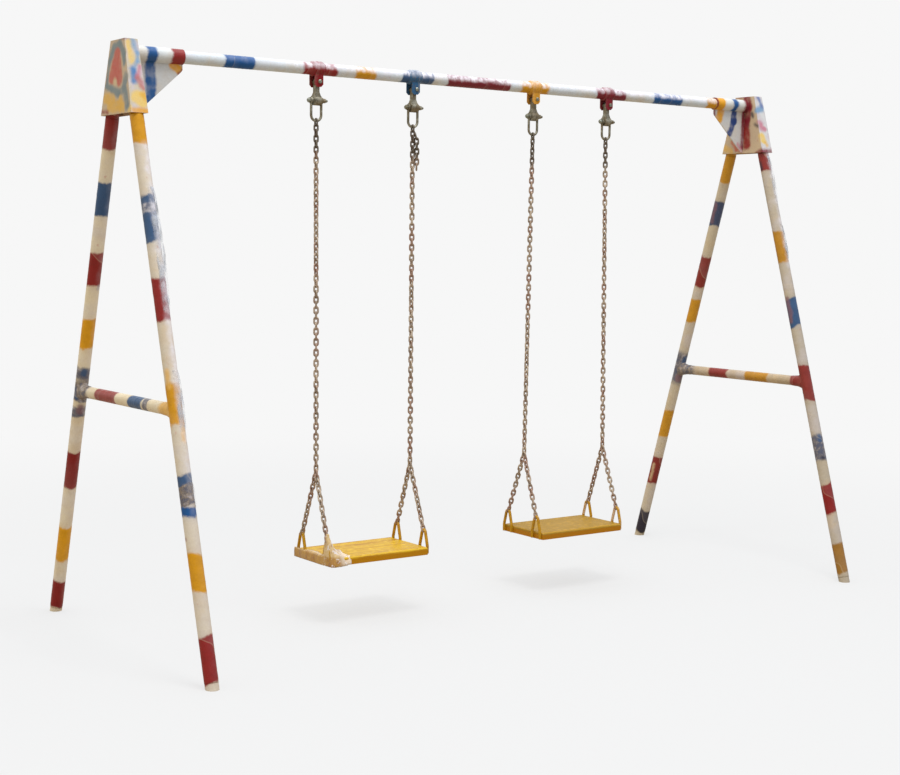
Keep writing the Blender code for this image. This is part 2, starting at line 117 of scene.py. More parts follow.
# ---------------------------------------------------------------- materials
def put(tree, socket, value):
    """Link a socket's input, or set its value."""
    if isinstance(value, bpy.types.NodeSocket):
        tree.links.new(value, socket)
    else:
        socket.default_value = value


def add_node(tree, kind, values=None, **settings):
    made = tree.nodes.new("ShaderNode" + kind)
    for key, value in settings.items():
        setattr(made, key, value)
    for key, value in (values or {}).items():
        put(tree, made.inputs[key], value)
    return made


class Graph:
    """One node material, with short calls for its nodes."""

    def __init__(self, name, roughness=0.4, metallic=0.0, coat=0.0, coat_roughness=0.08,
                 specular=0.5):
        self.mat = bpy.data.materials.new(name)
        self.mat.use_nodes = True
        self.tree = self.mat.node_tree
        self.shader = self.tree.nodes["Principled BSDF"]
        for key, value in (("Roughness", roughness), ("Metallic", metallic),
                           ("Coat Weight", coat), ("Coat Roughness", coat_roughness),
                           ("Specular IOR Level", specular)):
            self.shader.inputs[key].default_value = value
        self.point = self.node("TexCoord").outputs["Object"]

    def node(self, kind, values=None, **settings):
        return add_node(self.tree, kind, values, **settings)

    def put(self, key, value):
        put(self.tree, self.shader.inputs[key], value)

    def coordinate(self, axis):
        return self.node("SeparateXYZ", {0: self.point}).outputs[axis]

    def math(self, operation, a, b=0.0, clamp=False):
        return self.node("Math", {0: a, 1: b}, operation=operation, use_clamp=clamp).outputs[0]

    def times(self, a, b):
        return self.math("MULTIPLY", a, b)

    def plus(self, a, b):
        return self.math("ADD", a, b)

    def minus(self, a, b):
        return self.math("SUBTRACT", a, b)

    def vector(self, operation, a, b=(0.0, 0.0, 0.0)):
        made = self.node("VectorMath", {0: a, 1: b}, operation=operation)
        return made.outputs["Value" if operation in ("DOT_PRODUCT", "LENGTH") else "Vector"]

    def noise(self, scale, detail=2.0, roughness=0.5, vector=None):
        values = {"Vector": vector or self.point, "Scale": scale, "Detail": detail,
                  "Roughness": roughness}
        return self.node("TexNoise", values).outputs[0]

    def span(self, value, low, high, to_low=0.0, to_high=1.0, kind="SMOOTHSTEP"):
        values = {"Value": value, "From Min": low, "From Max": high,
                  "To Min": to_low, "To Max": to_high}
        return self.node("MapRange", values, interpolation_type=kind).outputs[0]

    def window(self, value, a, b, c, d):
        """One between b and c, falling to nothing at a and at d."""
        return self.times(self.span(value, a, b), self.span(value, c, d, 1.0, 0.0))

    def mix(self, share, a, b, blend="MIX"):
        made = self.node("Mix", {0: share, 6: a, 7: b}, data_type="RGBA", blend_type=blend)
        return made.outputs[2]

    def stretched(self, scale, turn=0.0):
        """The object point scaled along each axis, turned about Z first."""
        made = self.node("Mapping", {"Vector": self.point, "Rotation": (0.0, 0.0, turn),
                                     "Scale": scale})
        return made.outputs[0]

    def bump(self, height, distance, strength=1.0, coat=True):
        made = self.node("Bump", {"Height": height, "Distance": distance, "Strength": strength})
        self.put("Normal", made.outputs[0])
        if coat:
            self.put("Coat Normal", made.outputs[0])

    def colour(self, value):
        self.put("Base Color", value)

    def rough(self, value):
        self.put("Roughness", value)


OVERSPRAY = 0.028            # how far thin paint drifts past a band's edge


def band_layers(graph, colour, origin, axis, bands, seed, lean=0.35):
    """Sprayed bands across an axis: (low, high, colour[, softness]), slanted up to lean."""
    dice = random.Random(seed)
    local = graph.vector("SUBTRACT", graph.point, origin)
    ragged = graph.times(graph.minus(graph.noise(34.0, 3.0, 0.6), 0.5), 0.024)
    axis = Vector(axis).normalized()
    across = axis.cross(Vector((0.0, 1.0, 0.0)) if abs(axis.y) < 0.9 else Vector((1.0, 0.0, 0.0)))
    across.normalize()
    third = axis.cross(across)
    for band in bands:
        low, high, paint = band[:3]
        soft = band[3] if len(band) > 3 else 0.007
        tilt = across * dice.uniform(-lean, lean) + third * dice.uniform(-lean, lean)
        along = graph.vector("DOT_PRODUCT", local, axis + tilt)
        along = graph.plus(along, ragged)
        inside = graph.window(along, low - soft, low + soft, high - soft, high + soft)
        drift = graph.window(along, low - OVERSPRAY, low + OVERSPRAY,
                             high - OVERSPRAY, high + OVERSPRAY)
        share = graph.math("MAXIMUM", graph.times(inside, 0.99), graph.times(drift, 0.22))
        if paint in (FADED, MUDDY, FILM):
            blots = graph.noise(48.0, 3.0, 0.6)
            paint = graph.mix(graph.span(blots, 0.38, 0.60, 0.3, 1.0), DULL_BLUE, paint)
            paint = graph.mix(graph.span(blots, 0.54, 0.70, 0.0, 0.45), paint, LILAC)
        else:
            paint = graph.mix(graph.span(graph.noise(26.0, 3.0, 0.6), 0.35, 0.7, 0.0, 0.3),
                              paint, [0.6 * value for value in paint[:3]] + [1.0])
        colour = graph.mix(share, colour, paint)
    return colour


def stroke_layers(graph, colour, strokes, wobble=0.004, edge=0.007, warp=0.016):
    """Brush strokes: (start, end, radius, colour[, strength, squeeze]); squeeze scales the axes."""
    shake = graph.noise(60.0, 2.0)
    shake = graph.times(graph.minus(shake, 0.5), 2.0 * wobble)
    drift = graph.node("TexNoise", {"Vector": graph.point, "Scale": 22.0, "Detail": 2.0})
    drift = graph.vector("SUBTRACT", drift.outputs["Color"], (0.5, 0.5, 0.5))
    drift = graph.vector("MULTIPLY", drift, (warp, warp, warp))
    bent = graph.vector("ADD", graph.point, drift)
    for stroke in strokes:
        start, end, radius, paint = stroke[:4]
        strength = stroke[4] if len(stroke) > 4 else 0.94
        squeeze = stroke[5] if len(stroke) > 5 else (1.0, 1.0, 1.0)
        start = Vector(start) * Vector(squeeze)
        run = Vector(end) * Vector(squeeze) - start
        point = bent
        if len(stroke) > 5:
            point = graph.vector("MULTIPLY", point, squeeze)
        away = graph.vector("SUBTRACT", point, start)
        if run.length > 1e-6:
            share = graph.vector("DOT_PRODUCT", away, run / run.length_squared)
            share = graph.math("MAXIMUM", graph.math("MINIMUM", share, 1.0), 0.0)
            near = graph.node("CombineXYZ", {0: share, 1: share, 2: share}).outputs[0]
            away = graph.vector("SUBTRACT", away, graph.vector("MULTIPLY", near, run))
        reach = graph.plus(graph.vector("LENGTH", away), shake)
        brushed = graph.mix(graph.span(graph.noise(24.0, 2.0, 0.5), 0.4, 0.75, 0.0, 0.3),
                            paint, colour)
        colour = graph.mix(graph.span(reach, radius - edge, radius + edge, strength, 0.0),
                           colour, brushed)
    return colour


def finish_paint(graph, colour, gloss, wear, wrapped):
    """Grime, pits, roughness and fine relief shared by every painted piece."""
    fine = graph.noise(160.0, 4.0, 0.65)
    colour = graph.mix(graph.span(fine, 0.35, 0.75, 0.0, 0.10), colour, rgb(150, 126, 100),
                       "MULTIPLY")
    pits = graph.span(graph.noise(230.0, 2.0), 0.74, 0.8, 0.0, 0.5 * wear)
    graph.colour(graph.mix(pits, colour, rgb(86, 58, 44)))
    graph.rough(graph.span(graph.noise(60.0, 3.0), 0.3, 0.7, gloss - 0.08, gloss + 0.14, "LINEAR"))
    if wrapped:
        creases = graph.noise(1.0, 3.0, 0.6, graph.stretched((70.0, 130.0, 60.0)))
        height = graph.plus(creases, graph.times(fine, 0.2))
        graph.bump(height, 0.0012, 0.6)
    else:
        orange_peel = graph.plus(graph.noise(90.0, 2.0), graph.times(fine, 0.35))
        graph.bump(orange_peel, 0.0006, 0.5)
    return graph


def enamel(name, base, layers):
    """Bare enamel with sprayed layers."""
    graph = Graph(name, coat=0.12, coat_roughness=0.2, specular=0.3)
    patchy = graph.noise(7.0, 3.0, 0.6)
    colour = graph.mix(graph.span(patchy, 0.38, 0.7, 0.0, 0.35), base, TAN)
    colour = graph.mix(graph.span(graph.noise(55.0, 2.0), 0.69, 0.76, 0.0, 0.3), colour, SALMON)
    return finish_paint(graph, layers(graph, colour), 0.36, 1.0, False)


def wound_lines(graph, colour, along, angle, pitch, seed):
    """Lines at the edges of film wound round a tube, and a veil beside some of them."""
    turn = graph.plus(graph.math("DIVIDE", along, pitch), angle)
    sway = graph.times(graph.noise(8.0, 1.0), 1.6)
    turn = graph.plus(graph.plus(turn, sway), seed + 100.0)
    part = graph.math("FRACT", turn)
    which = graph.node("TexWhiteNoise", {"W": graph.math("FLOOR", turn)},
                       noise_dimensions="1D").outputs[0]
    line = graph.times(graph.window(part, 0.0, 0.035, 0.05, 0.10),
                       graph.span(which, 0.35, 0.9, 0.0, 0.22))
    colour = graph.mix(line, colour, rgb(214, 196, 164))
    veil = graph.times(graph.window(part, 0.0, 0.08, 0.1, 0.9),
                       graph.span(which, 0.2, 1.0, 0.0, 0.06))
    return graph.mix(veil, colour, rgb(214, 208, 204))


def painted_sun_sheen(graph, colour, along, sunny, sheen_span, reach):
    """Painted sheen: the film whitened on the side that faces the sun."""
    streaks = graph.noise(1.0, 2.0, 0.55, graph.stretched((45.0, 45.0, 30.0)))
    ripple = graph.minus(graph.noise(24.0, 3.0, 0.6), 0.5)
    shine = graph.plus(sunny, graph.times(ripple, 0.9))
    shine = graph.times(graph.span(shine, reach[0], reach[1]),
                        graph.span(streaks, 0.32, 0.62, 0.4, 1.0))
    low, high, below, above, end = sheen_span
    amount = graph.times(graph.span(along, low, high, below, above),
                         graph.span(along, end - 0.02, end + 0.02, 1.0, 0.0))
    # the whitish colour of the painted sheen
    return graph.mix(graph.times(shine, amount), colour, rgb(240, 238, 246))


def wrapped_tube(name, base, layers, origin, axis, radius, sheen_span, reach, pitch, seed):
    """Enamel under wound clear film: whitened on the sunny side as a painted sheen, with lines at the
    film's edges.

    The painted sheen's span is (low place, high place, amount below, amount above, end) along the
    axis, with none past the end, and reach is where that painted sheen starts and ends across the tube."""
    graph = Graph(name, coat=0.07, coat_roughness=0.12, specular=0.2)
    patchy = graph.noise(6.0, 3.0, 0.6)
    colour = graph.mix(graph.span(patchy, 0.42, 0.68, 0.0, 0.35), base, LILAC)
    warm = graph.noise(9.0, 3.0, 0.6, graph.vector("ADD", graph.point, (3.0, 1.0, 7.0)))
    colour = graph.mix(graph.span(warm, 0.45, 0.7, 0.0, 0.4), colour, TAN)
    colour = graph.mix(graph.span(graph.noise(50.0, 2.0), 0.68, 0.75, 0.0, 0.3), colour, SALMON)
    colour = layers(graph, colour)
    axis = Vector(axis).normalized()
    local = graph.vector("SUBTRACT", graph.point, origin)
    along = graph.vector("DOT_PRODUCT", local, axis)
    sunny_way = (SUN - axis * SUN.dot(axis)).normalized()
    beside = graph.vector("DOT_PRODUCT", local, axis.cross(sunny_way))
    facing = graph.vector("DOT_PRODUCT", local, sunny_way)
    angle = graph.math("DIVIDE", graph.math("ARCTAN2", beside, facing), TAU)
    colour = wound_lines(graph, colour, along, angle, pitch, seed)
    # painted sheen on the side that faces the sun
    colour = painted_sun_sheen(graph, colour, along, graph.math("DIVIDE", facing, radius), sheen_span, reach)
    return finish_paint(graph, colour, 0.34, 0.4, True)


def metal(name, light, dark, tint, roughness, scale, metallic=0.75, aloft=None):
    """Weathered zinc: mottled light and dark with a tint of rust or algae."""
    graph = Graph(name, roughness, metallic)
    mottle = graph.noise(scale, 5.0, 0.65)
    colour = graph.mix(graph.span(mottle, 0.36, 0.64), dark, light)
    stain = graph.span(graph.noise(scale * 0.35, 3.0, 0.6), 0.44, 0.62, 0.0, 0.75)
    colour = graph.mix(stain, colour, tint)
    if aloft:
        height = graph.coordinate(2)
        height = graph.plus(height, graph.times(mottle, 0.06))
        colour = graph.mix(graph.span(height, 1.95, 2.02, 0.0, 0.8), colour, aloft)
    grime = graph.span(graph.noise(scale * 2.6, 3.0), 0.58, 0.74, 0.0, 0.35)
    graph.colour(graph.mix(grime, colour, rgb(48, 40, 34)))
    graph.rough(graph.span(mottle, 0.3, 0.7, roughness - 0.12, roughness + 0.18, "LINEAR"))
    graph.bump(mottle, 0.0008, 0.7, coat=False)
    return graph.mat


def leg_axis(end):
    """The way up a leg, as a unit vector."""
    return (0.0, -ENDS[end] * math.sin(LEG_TILT), math.cos(LEG_TILT))


def leg_foot(side, end):
    """The middle of a leg's foot."""
    return (SIDES[side] * FRAME_X, ENDS[end] * LEG_FOOT_Y, 0.0)


# bands of paint on the tubes: from and to along the tube, colour[, softness of the edges]
LEG_BANDS = {
    ("left", "rear"): (
        (2.030, 2.175, RED), (1.756, 1.893, BLUE), (1.468, 1.606, RED), (1.203, 1.331, YELLOW),
        (1.070, 1.120, FADED, 0.012), (0.993, 1.072, MUDDY, 0.016), (0.974, 0.995, FADED),
        (0.905, 0.949, FADED), (0.589, 0.753, DEEP_RED), (0.253, 0.408, YELLOW),
        (0.026, 0.150, DEEP_RED)),
    ("left", "front"): (
        (2.032, 2.175, BRIGHT_YELLOW), (1.648, 1.830, BLUE), (1.762, 1.797, FILM, 0.006),
        (1.351, 1.515, RED), (0.949, 1.106, BRIGHT_YELLOW, 0.010), (0.733, 0.777, BLUE),
        (0.657, 0.734, MUDDY, 0.003), (0.621, 0.658, BRIGHT_BLUE), (0.351, 0.489, BRIGHT_YELLOW),
        (0.018, 0.188, RED)),
    ("right", "rear"): (
        (2.013, 2.175, DULL_YELLOW), (1.773, 1.901, DULL_BLUE), (1.451, 1.615, DULL_RED),
        (1.250, 1.378, DULL_YELLOW), (0.907, 1.080, FADED, 0.022), (0.594, 0.746, DULL_YELLOW),
        (0.318, 0.473, DULL_RED), (0.030, 0.162, NAVY)),
    ("right", "front"): (
        (2.056, 2.180, DULL_RED), (1.584, 1.743, AMBER), (1.258, 1.400, BLUE),
        (0.887, 1.063, DULL_RED), (0.587, 0.711, FADED, 0.010), (0.336, 0.478, DEEP_RED),
        (0.044, 0.188, BROWN_YELLOW)),
}
# blotches on the legs: two places along the leg, degrees about it from +X, radius, colour
BLOTCHES = {
    ("left", "rear"): ((1.00, 1.02, -150, 0.016, BLUE), (0.93, 0.95, -100, 0.014, DUSK),
                       (1.10, 1.11, -110, 0.012, BLUE), (1.46, 1.47, -60, 0.006, FILM)),
    ("left", "front"): ((1.10, 1.16, -150, 0.010, SOFT_YELLOW), (0.90, 0.94, -70, 0.012, SOFT_YELLOW),
                        (0.540, 0.542, 175, 0.006, MAROON), (1.63, 1.66, -60, 0.008, FILM)),
    ("right", "rear"): ((1.80, 1.89, 178, 0.012, DUSK), (0.34, 0.43, -165, 0.007, TAN),
                        (0.93, 0.95, -120, 0.016, DUSK), (1.02, 1.05, -100, 0.014, BLUE),
                        (0.98, 0.99, -60, 0.012, TAN)),
    ("right", "front"): ((1.29, 1.40, 178, 0.013, DUSK), (0.69, 0.71, -110, 0.012, BLUE),
                         (0.60, 0.605, -120, 0.010, NAVY), (2.07, 2.10, 170, 0.010, NAVY)),
}
BAR_BANDS = {
    "left": ((0.328, 0.436, MUDDY, 0.010), (0.055, 0.249, PALE_RED), (-0.183, -0.066, BLUE),
             (-0.236, -0.194, FADED, 0.004), (-0.494, -0.339, SOFT_YELLOW, 0.02)),
    "right": ((0.314, 0.454, MUDDY, 0.02), (0.074, 0.204, DULL_RED), (-0.204, -0.053, AMBER),
              (-0.496, -0.354, DULL_RED)),
}
BEAM_BANDS = (
    (-1.276, -1.142, BRIGHT_BLUE), (-0.919, -0.756, RED), (-0.657, -0.558, BRIGHT_YELLOW, 0.01),
    (-0.430, -0.268, BLUE), (-0.198, 0.149, MAROON), (0.223, 0.381, BRIGHT_YELLOW, 0.01),
    (0.659, 0.841, MAROON), (1.033, 1.219, BRIGHT_BLUE), (1.383, 1.452, BRIGHT_YELLOW))

# strokes on the faces of the heads: across and height of both ends, radius, colour[, strength];
# across is Y on the outer and inner faces and X on the front and rear ones
HEAD_MARKS = {
    "left": {
        "outer": (
            (0.088, 2.180, 0.068, 2.265, 0.013, GREY, 0.9), (0.068, 2.265, 0.030, 2.316, 0.016, GREY),
            (0.030, 2.316, -0.020, 2.324, 0.017, GREY), (-0.020, 2.324, -0.058, 2.292, 0.018, GREY),
            (-0.058, 2.292, -0.066, 2.258, 0.016, GREY),
            (0.002, 2.288, 0.046, 2.204, 0.025, SALMON, 0.96),
            (-0.004, 2.284, -0.024, 2.196, 0.027, SALMON, 0.96),
            (0.010, 2.250, 0.004, 2.222, 0.030, SALMON, 0.96),
            (0.018, 2.190, 0.012, 2.186, 0.014, TAN, 0.9), (0.094, 2.176, 0.045, 2.162, 0.014, GREY),
            (0.045, 2.162, -0.020, 2.144, 0.016, GREY), (-0.020, 2.144, -0.062, 2.152, 0.016, GREY),
            (-0.066, 2.160, -0.084, 2.200, 0.018, GREY), (-0.078, 2.150, -0.100, 2.094, 0.019, GREY),
            (0.098, 2.130, 0.030, 2.122, 0.021, OCHRE), (0.060, 2.112, -0.040, 2.094, 0.020, OCHRE),
            (-0.040, 2.118, -0.062, 2.098, 0.015, OCHRE, 0.9),
            (0.070, 2.088, -0.066, 2.080, 0.014, OCHRE, 0.85),
            (-0.130, 2.082, -0.122, 2.072, 0.012, PALE_YELLOW, 0.7),
            (0.132, 2.082, 0.078, 2.074, 0.008, RED, 0.85)),
        "front": (
            (-1.702, 2.330, -1.700, 2.262, 0.013, PALE_YELLOW, 0.9),
            (-1.688, 2.342, -1.674, 2.296, 0.010, PALE_BLUE, 0.85),
            (-1.674, 2.296, -1.676, 2.262, 0.008, PALE_BLUE, 0.85),
            (-1.676, 2.262, -1.700, 2.226, 0.009, PALE_BLUE, 0.8),
            (-1.700, 2.226, -1.697, 2.184, 0.013, rgb(72, 124, 182), 0.95),
            (-1.668, 2.242, -1.682, 2.206, 0.008, PINK, 0.85),
            (-1.682, 2.196, -1.666, 2.162, 0.011, rgb(184, 96, 96), 0.85),
            (-1.690, 2.122, -1.680, 2.112, 0.028, PALE_YELLOW, 0.96),
            (-1.668, 2.136, -1.662, 2.124, 0.014, OCHRE, 0.9),
            (-1.715, 2.072, -1.655, 2.074, 0.011, YELLOW, 0.9)),
        "rear": (
            (-1.692, 2.262, -1.700, 2.200, 0.022, BLUE, 0.9),
            (-1.680, 2.150, -1.700, 2.110, 0.018, OCHRE, 0.9)),
        "inner": (
            (0.060, 2.180, -0.070, 2.150, 0.020, SALMON, 0.8),)},
    "right": {
        "inner": (
            (-0.012, 2.342, -0.030, 2.292, 0.022, MAROON, 0.97),
            (-0.030, 2.292, -0.022, 2.232, 0.021, MAROON, 0.97),
            (-0.022, 2.232, -0.020, 2.170, 0.021, MAROON, 0.97),
            (-0.020, 2.170, -0.030, 2.104, 0.024, RED, 0.95),
            (0.078, 2.347, -0.006, 2.345, 0.006, MAROON, 0.9),
            (-0.054, 2.262, -0.060, 2.244, 0.008, NAVY, 0.9),
            (-0.082, 2.206, -0.092, 2.196, 0.009, NAVY, 0.85),
            (0.074, 2.124, 0.040, 2.084, 0.007, SALMON, 0.9),
            (0.040, 2.084, 0.016, 2.080, 0.008, SALMON, 0.85),
            (0.124, 2.096, 0.080, 2.078, 0.016, OCHRE, 0.7),
            (-0.100, 2.066, -0.136, 2.074, 0.010, MAROON, 0.9)),
        "front": (
            (1.674, 2.276, 1.700, 2.286, 0.016, PALE_BLUE, 0.95),
            (1.692, 2.335, 1.704, 2.300, 0.011, rgb(96, 116, 172), 0.85),
            (1.668, 2.216, 1.680, 2.208, 0.012, PINK, 0.85),
            (1.678, 2.190, 1.700, 2.182, 0.014, PINK, 0.9),
            (1.672, 2.148, 1.678, 2.124, 0.018, PALE_YELLOW, 0.95),
            (1.690, 2.112, 1.698, 2.102, 0.010, OCHRE, 0.8),
            (1.656, 2.070, 1.730, 2.074, 0.009, MAROON, 0.95)),
        "rear": (
            (1.700, 2.270, 1.690, 2.210, 0.020, OCHRE, 0.9),
            (1.684, 2.130, 1.700, 2.100, 0.016, BLUE, 0.85))}}
# the right head's outer face isn't in the photograph: it gets the left one's strokes
HEAD_MARKS["right"]["outer"] = [(-a, low, -b, high, *rest)
                                for a, low, b, high, *rest in HEAD_MARKS["left"]["outer"]]
HEAD_TOP = 2.349
HEAD_HALF_Y, HEAD_SLOPE = 0.0635, 0.265  # half depth at the top, lean of the front and rear faces
HEAD_HALF_X, HEAD_FLARE = 0.0262, 0.031  # half width at the top, lean of the outer and inner faces
# the left head's painted top rim, as a stroke
RIM = ((-1.720, -0.066, 2.349), (-1.664, 0.066, 2.349), 0.006, MAROON, 0.85, (0.4, 0.3, 1.0))
FLAT_X = (2.2, 1.0, 1.0)                 # keeps a stroke on one of two faces close in X


def on_head(side, face, across, height):
    """A point on a head's face, from its place across the face and its height."""
    drop = HEAD_TOP - height
    if face in ENDS:
        return across, ENDS[face] * (HEAD_HALF_Y + HEAD_SLOPE * drop), height
    out = (HEAD_HALF_X + HEAD_FLARE * drop) * (1 if face == "outer" else -1)
    return SIDES[side] * (FRAME_X + out), across, height


def head_strokes(side):
    """The brush strokes of one head, as stroke_layers takes them."""
    strokes = []
    for face, marks in HEAD_MARKS[side].items():
        squeeze = () if face in ENDS else (FLAT_X,)
        for a, low, b, high, radius, paint, *strength in marks:
            strokes.append((on_head(side, face, a, low), on_head(side, face, b, high), radius,
                            paint, *(strength or (0.94,)), *squeeze))
    if side == "left":
        strokes.append(RIM)
    return strokes


SOCKET_BANDS = {
    "left": ((-1.608, -1.566, BRIGHT_BLUE, 0.008), (-1.502, -1.440, RED)),
    "right": ((1.440, 1.458, MAROON, 0.003), (1.454, 1.502, YELLOW, 0.006),
              (1.558, 1.592, BRIGHT_BLUE, 0.008), (1.642, 1.680, MAROON, 0.010)),
}
# strokes on the gussets: X and Z of both ends, radius, colour, strength
GUSSET_MARKS = {
    "left": (
        (-1.586, 2.275, -1.582, 2.120, 0.022, BRIGHT_BLUE, 0.97),
        (-1.490, 2.268, -1.466, 2.252, 0.017, YELLOW, 0.95),
        (-1.462, 2.236, -1.448, 2.246, 0.009, MAROON, 0.95)),
    "right": (
        (1.590, 2.275, 1.586, 2.218, 0.019, INK, 0.97), (1.586, 2.218, 1.562, 2.160, 0.018, INK, 0.97),
        (1.660, 2.275, 1.654, 2.095, 0.016, MAROON, 0.97),
        (1.498, 2.270, 1.486, 2.232, 0.024, YELLOW, 0.95),
        (1.449, 2.270, 1.452, 2.244, 0.007, MAROON, 0.95), (1.622, 2.110, 1.652, 2.070, 0.008, PINK, 0.7))}
# painted sheen of the film on the sunny side: two places along the leg, the amounts below and above them,
# and where it ends
PAINTED_SHEEN = {("left", "rear"): (0.5, 1.2, 0.05, 0.12, 3.0), ("left", "front"): (0.45, 1.15, 0.03, 0.65, 2.03),
        ("right", "rear"): (0.5, 1.2, 0.0, 0.08, 3.0), ("right", "front"): (1.45, 1.62, 0.03, 0.65, 3.0)}
LEG_REACH = (0.15, 1.15)


def finish_node(node, graph):
    """Give a carried-over CAD node its material."""
    for slot in nodes[node].material_slots:
        slot.material = getattr(graph, "mat", graph)


def banded(bands, origin, axis, seed, lean=0.3):
    """The layers of one banded tube, as a call for its material."""
    def layers(graph, colour):
        return band_layers(graph, colour, origin, axis, bands, seed, lean)
    return layers


def stroked(side):
    """The layers of one gusset."""
    strokes = [((a, 0.0, low), (b, 0.0, high), *rest)
               for a, low, b, high, *rest in GUSSET_MARKS[side]]

    def layers(graph, colour):
        return stroke_layers(graph, colour, strokes)
    return layers


def head_layers(side):
    """A whiter front face, partly its paint and partly painted light on the face towards the light, then
    the brush strokes.
    """
    def layers(graph, colour):
        slope = graph.times(graph.minus(HEAD_TOP, graph.coordinate(2)), HEAD_SLOPE)
        front = graph.minus(graph.times(graph.coordinate(1), -1.0), slope)
        # the front face whiter: partly its paint, partly painted light
        mask = graph.span(front, HEAD_HALF_Y - 0.005, HEAD_HALF_Y - 0.001, 0.0, 0.85)
        front_paint_and_light = graph.mix(graph.span(graph.noise(18.0, 2.0), 0.35, 0.65), HEAD_FRONT_PAINT_AND_LIGHT[side], LILAC)
        return stroke_layers(graph, graph.mix(mask, colour, front_paint_and_light), head_strokes(side), edge=0.009)
    return layers


def leg_layers(key, number):
    """Bands, then blotches, of one leg."""
    foot, axis = Vector(leg_foot(*key)), Vector(leg_axis(key[1]))
    third = axis.cross(Vector((1.0, 0.0, 0.0)))
    strokes = []
    for low, high, degrees, radius, paint in BLOTCHES[key]:
        turn = math.radians(degrees)
        out = (math.cos(turn) * Vector((1.0, 0.0, 0.0)) + math.sin(turn) * third) * LEG_R
        strokes.append((foot + axis * low + out, foot + axis * high + out, radius, paint, 0.8))

    def layers(graph, colour):
        colour = band_layers(graph, colour, foot, axis, LEG_BANDS[key], number, 0.3)
        return stroke_layers(graph, colour, strokes)
    return layers


# places of the painted sheen, as for the legs, and where that painted sheen starts and ends across the
# tube
BAR_SHEEN, BAR_REACH = (-1.0, 1.0, 0.12, 0.12, 3.0), (0.3, 1.3)
BEAM_SHEEN, BEAM_REACH = (-1.1, -0.85, 0.12, 0.9, 3.0), (0.45, 1.1)
STRAP_SHEEN, STRAP_REACH = (-2.0, 2.0, 0.6, 0.6, 3.0), (0.5, 1.3)
STRAP_SHEEN_R = BEAM_R + 0.004            # the radius at which the whitening starts and ends
ALONG_X, ALONG_Y, BEAM_MIDDLE = (1, 0, 0), (0, 1, 0), (0, 0, BEAM_Z)

LEG_MATS, BAR_MATS = {}, {}
for number, key in enumerate(LEG_BANDS):
    foot, axis = leg_foot(*key), leg_axis(key[1])
    LEG_MATS[key] = wrapped_tube("leg_paint_%s_%s" % key, CREAM[key], leg_layers(key, number),
                                 foot, axis, LEG_R, PAINTED_SHEEN[key], LEG_REACH, pitch=0.130,
                                 seed=number * 0.37)
    finish_node("leg_%s_%s" % key, LEG_MATS[key])

for number, side in enumerate(SIDES):
    middle = (SIDES[side] * FRAME_X, 0.0, BAR_Z[side])
    layers = banded(BAR_BANDS[side], middle, ALONG_Y, 14 + number, 0.12)
    BAR_MATS[side] = wrapped_tube("crossbar_paint_" + side, BAR_CREAM[side], layers, middle,
                                  ALONG_Y, BAR_R, BAR_SHEEN, BAR_REACH, pitch=0.050, seed=0.2)
    finish_node("crossbar_" + side, BAR_MATS[side])
    finish_node("head_" + side, enamel("head_paint_" + side, rgb(194, 172, 144),
                                       head_layers(side)))
    finish_node("beam_socket_" + side, enamel(
        "socket_paint_" + side, SOCKET_WHITE,
        banded(SOCKET_BANDS[side], BEAM_MIDDLE, ALONG_X, 30, 0.12)))
    finish_node("gusset_" + side, enamel("gusset_paint_" + side, rgb(206, 210, 212),
                                         stroked(side)))

BEAM_MAT = wrapped_tube("beam_paint", rgb(212, 222, 229),
                        banded(BEAM_BANDS, BEAM_MIDDLE, ALONG_X, 50), BEAM_MIDDLE, ALONG_X,
                        BEAM_R, BEAM_SHEEN, BEAM_REACH, pitch=0.034, seed=0.5)
finish_node("top_beam", BEAM_MAT)

STRAP_COLOURS = (rgb(130, 22, 28), rgb(50, 92, 130), rgb(210, 150, 44), MAROON)
STRAP_MATS = []
for index, paint in enumerate(STRAP_COLOURS):
    def strap(graph, colour, paint=paint):
        worn = graph.span(graph.noise(120.0, 4.0, 0.7), 0.56, 0.66, 0.0, 0.55)
        return graph.mix(worn, paint, rgb(120, 92, 52))

    STRAP_MATS.append(wrapped_tube("strap_paint_%d" % (index + 1), paint, strap, BEAM_MIDDLE,
                                   ALONG_X, STRAP_SHEEN_R, STRAP_SHEEN, STRAP_REACH,
                                   pitch=0.020, seed=index * 0.3))
    finish_node("hanger_%d_strap" % (index + 1), STRAP_MATS[index])

HARDWARE = metal("galvanised", rgb(168, 164, 148), rgb(116, 112, 96), rgb(122, 106, 80), 0.5, 60.0)
BOLTS = metal("zinc_bolts", rgb(168, 172, 162), rgb(120, 124, 110), rgb(112, 98, 66), 0.42, 110.0)
CHAIN = metal("chain_zinc_rust", rgb(204, 188, 168), rgb(152, 134, 116), rgb(164, 128, 112), 0.55,
              34.0, 0.5, rgb(84, 78, 68))
for index in range(1, 5):
    tag = "hanger_%d_" % index
    for part in ("link", "shackle", "pin_nut"):
        finish_node(tag + part, HARDWARE)
    for part in ("bolt", "nut", "pin"):
        finish_node(tag + part, BOLTS)


# -------------------------------------------------------------------- seats
def seat_painted_shade_and_highlight(graph, colour, side_shade, nose_highlight):
    """Darker down the edges as painted shade, and a lighter line along the nose as a painted highlight."""
    height = graph.coordinate(2)
    shake = graph.times(graph.minus(graph.noise(40.0, 3.0), 0.5), 0.006)
    height = graph.plus(height, shake)
    # a lighter line along the top edge: a painted highlight
    nose = graph.window(height, SEAT_TOP - 0.0065, SEAT_TOP - 0.003, SEAT_TOP - 0.0015,
                        SEAT_TOP + 0.0002)
    colour = graph.mix(graph.times(nose, 0.7), colour, nose_highlight)
    # everything below the top edge darker: painted shade
    edge = graph.span(height, SEAT_TOP - 0.013, SEAT_TOP - 0.0065, 1.0, 0.0)
    return graph.mix(edge, colour, side_shade)


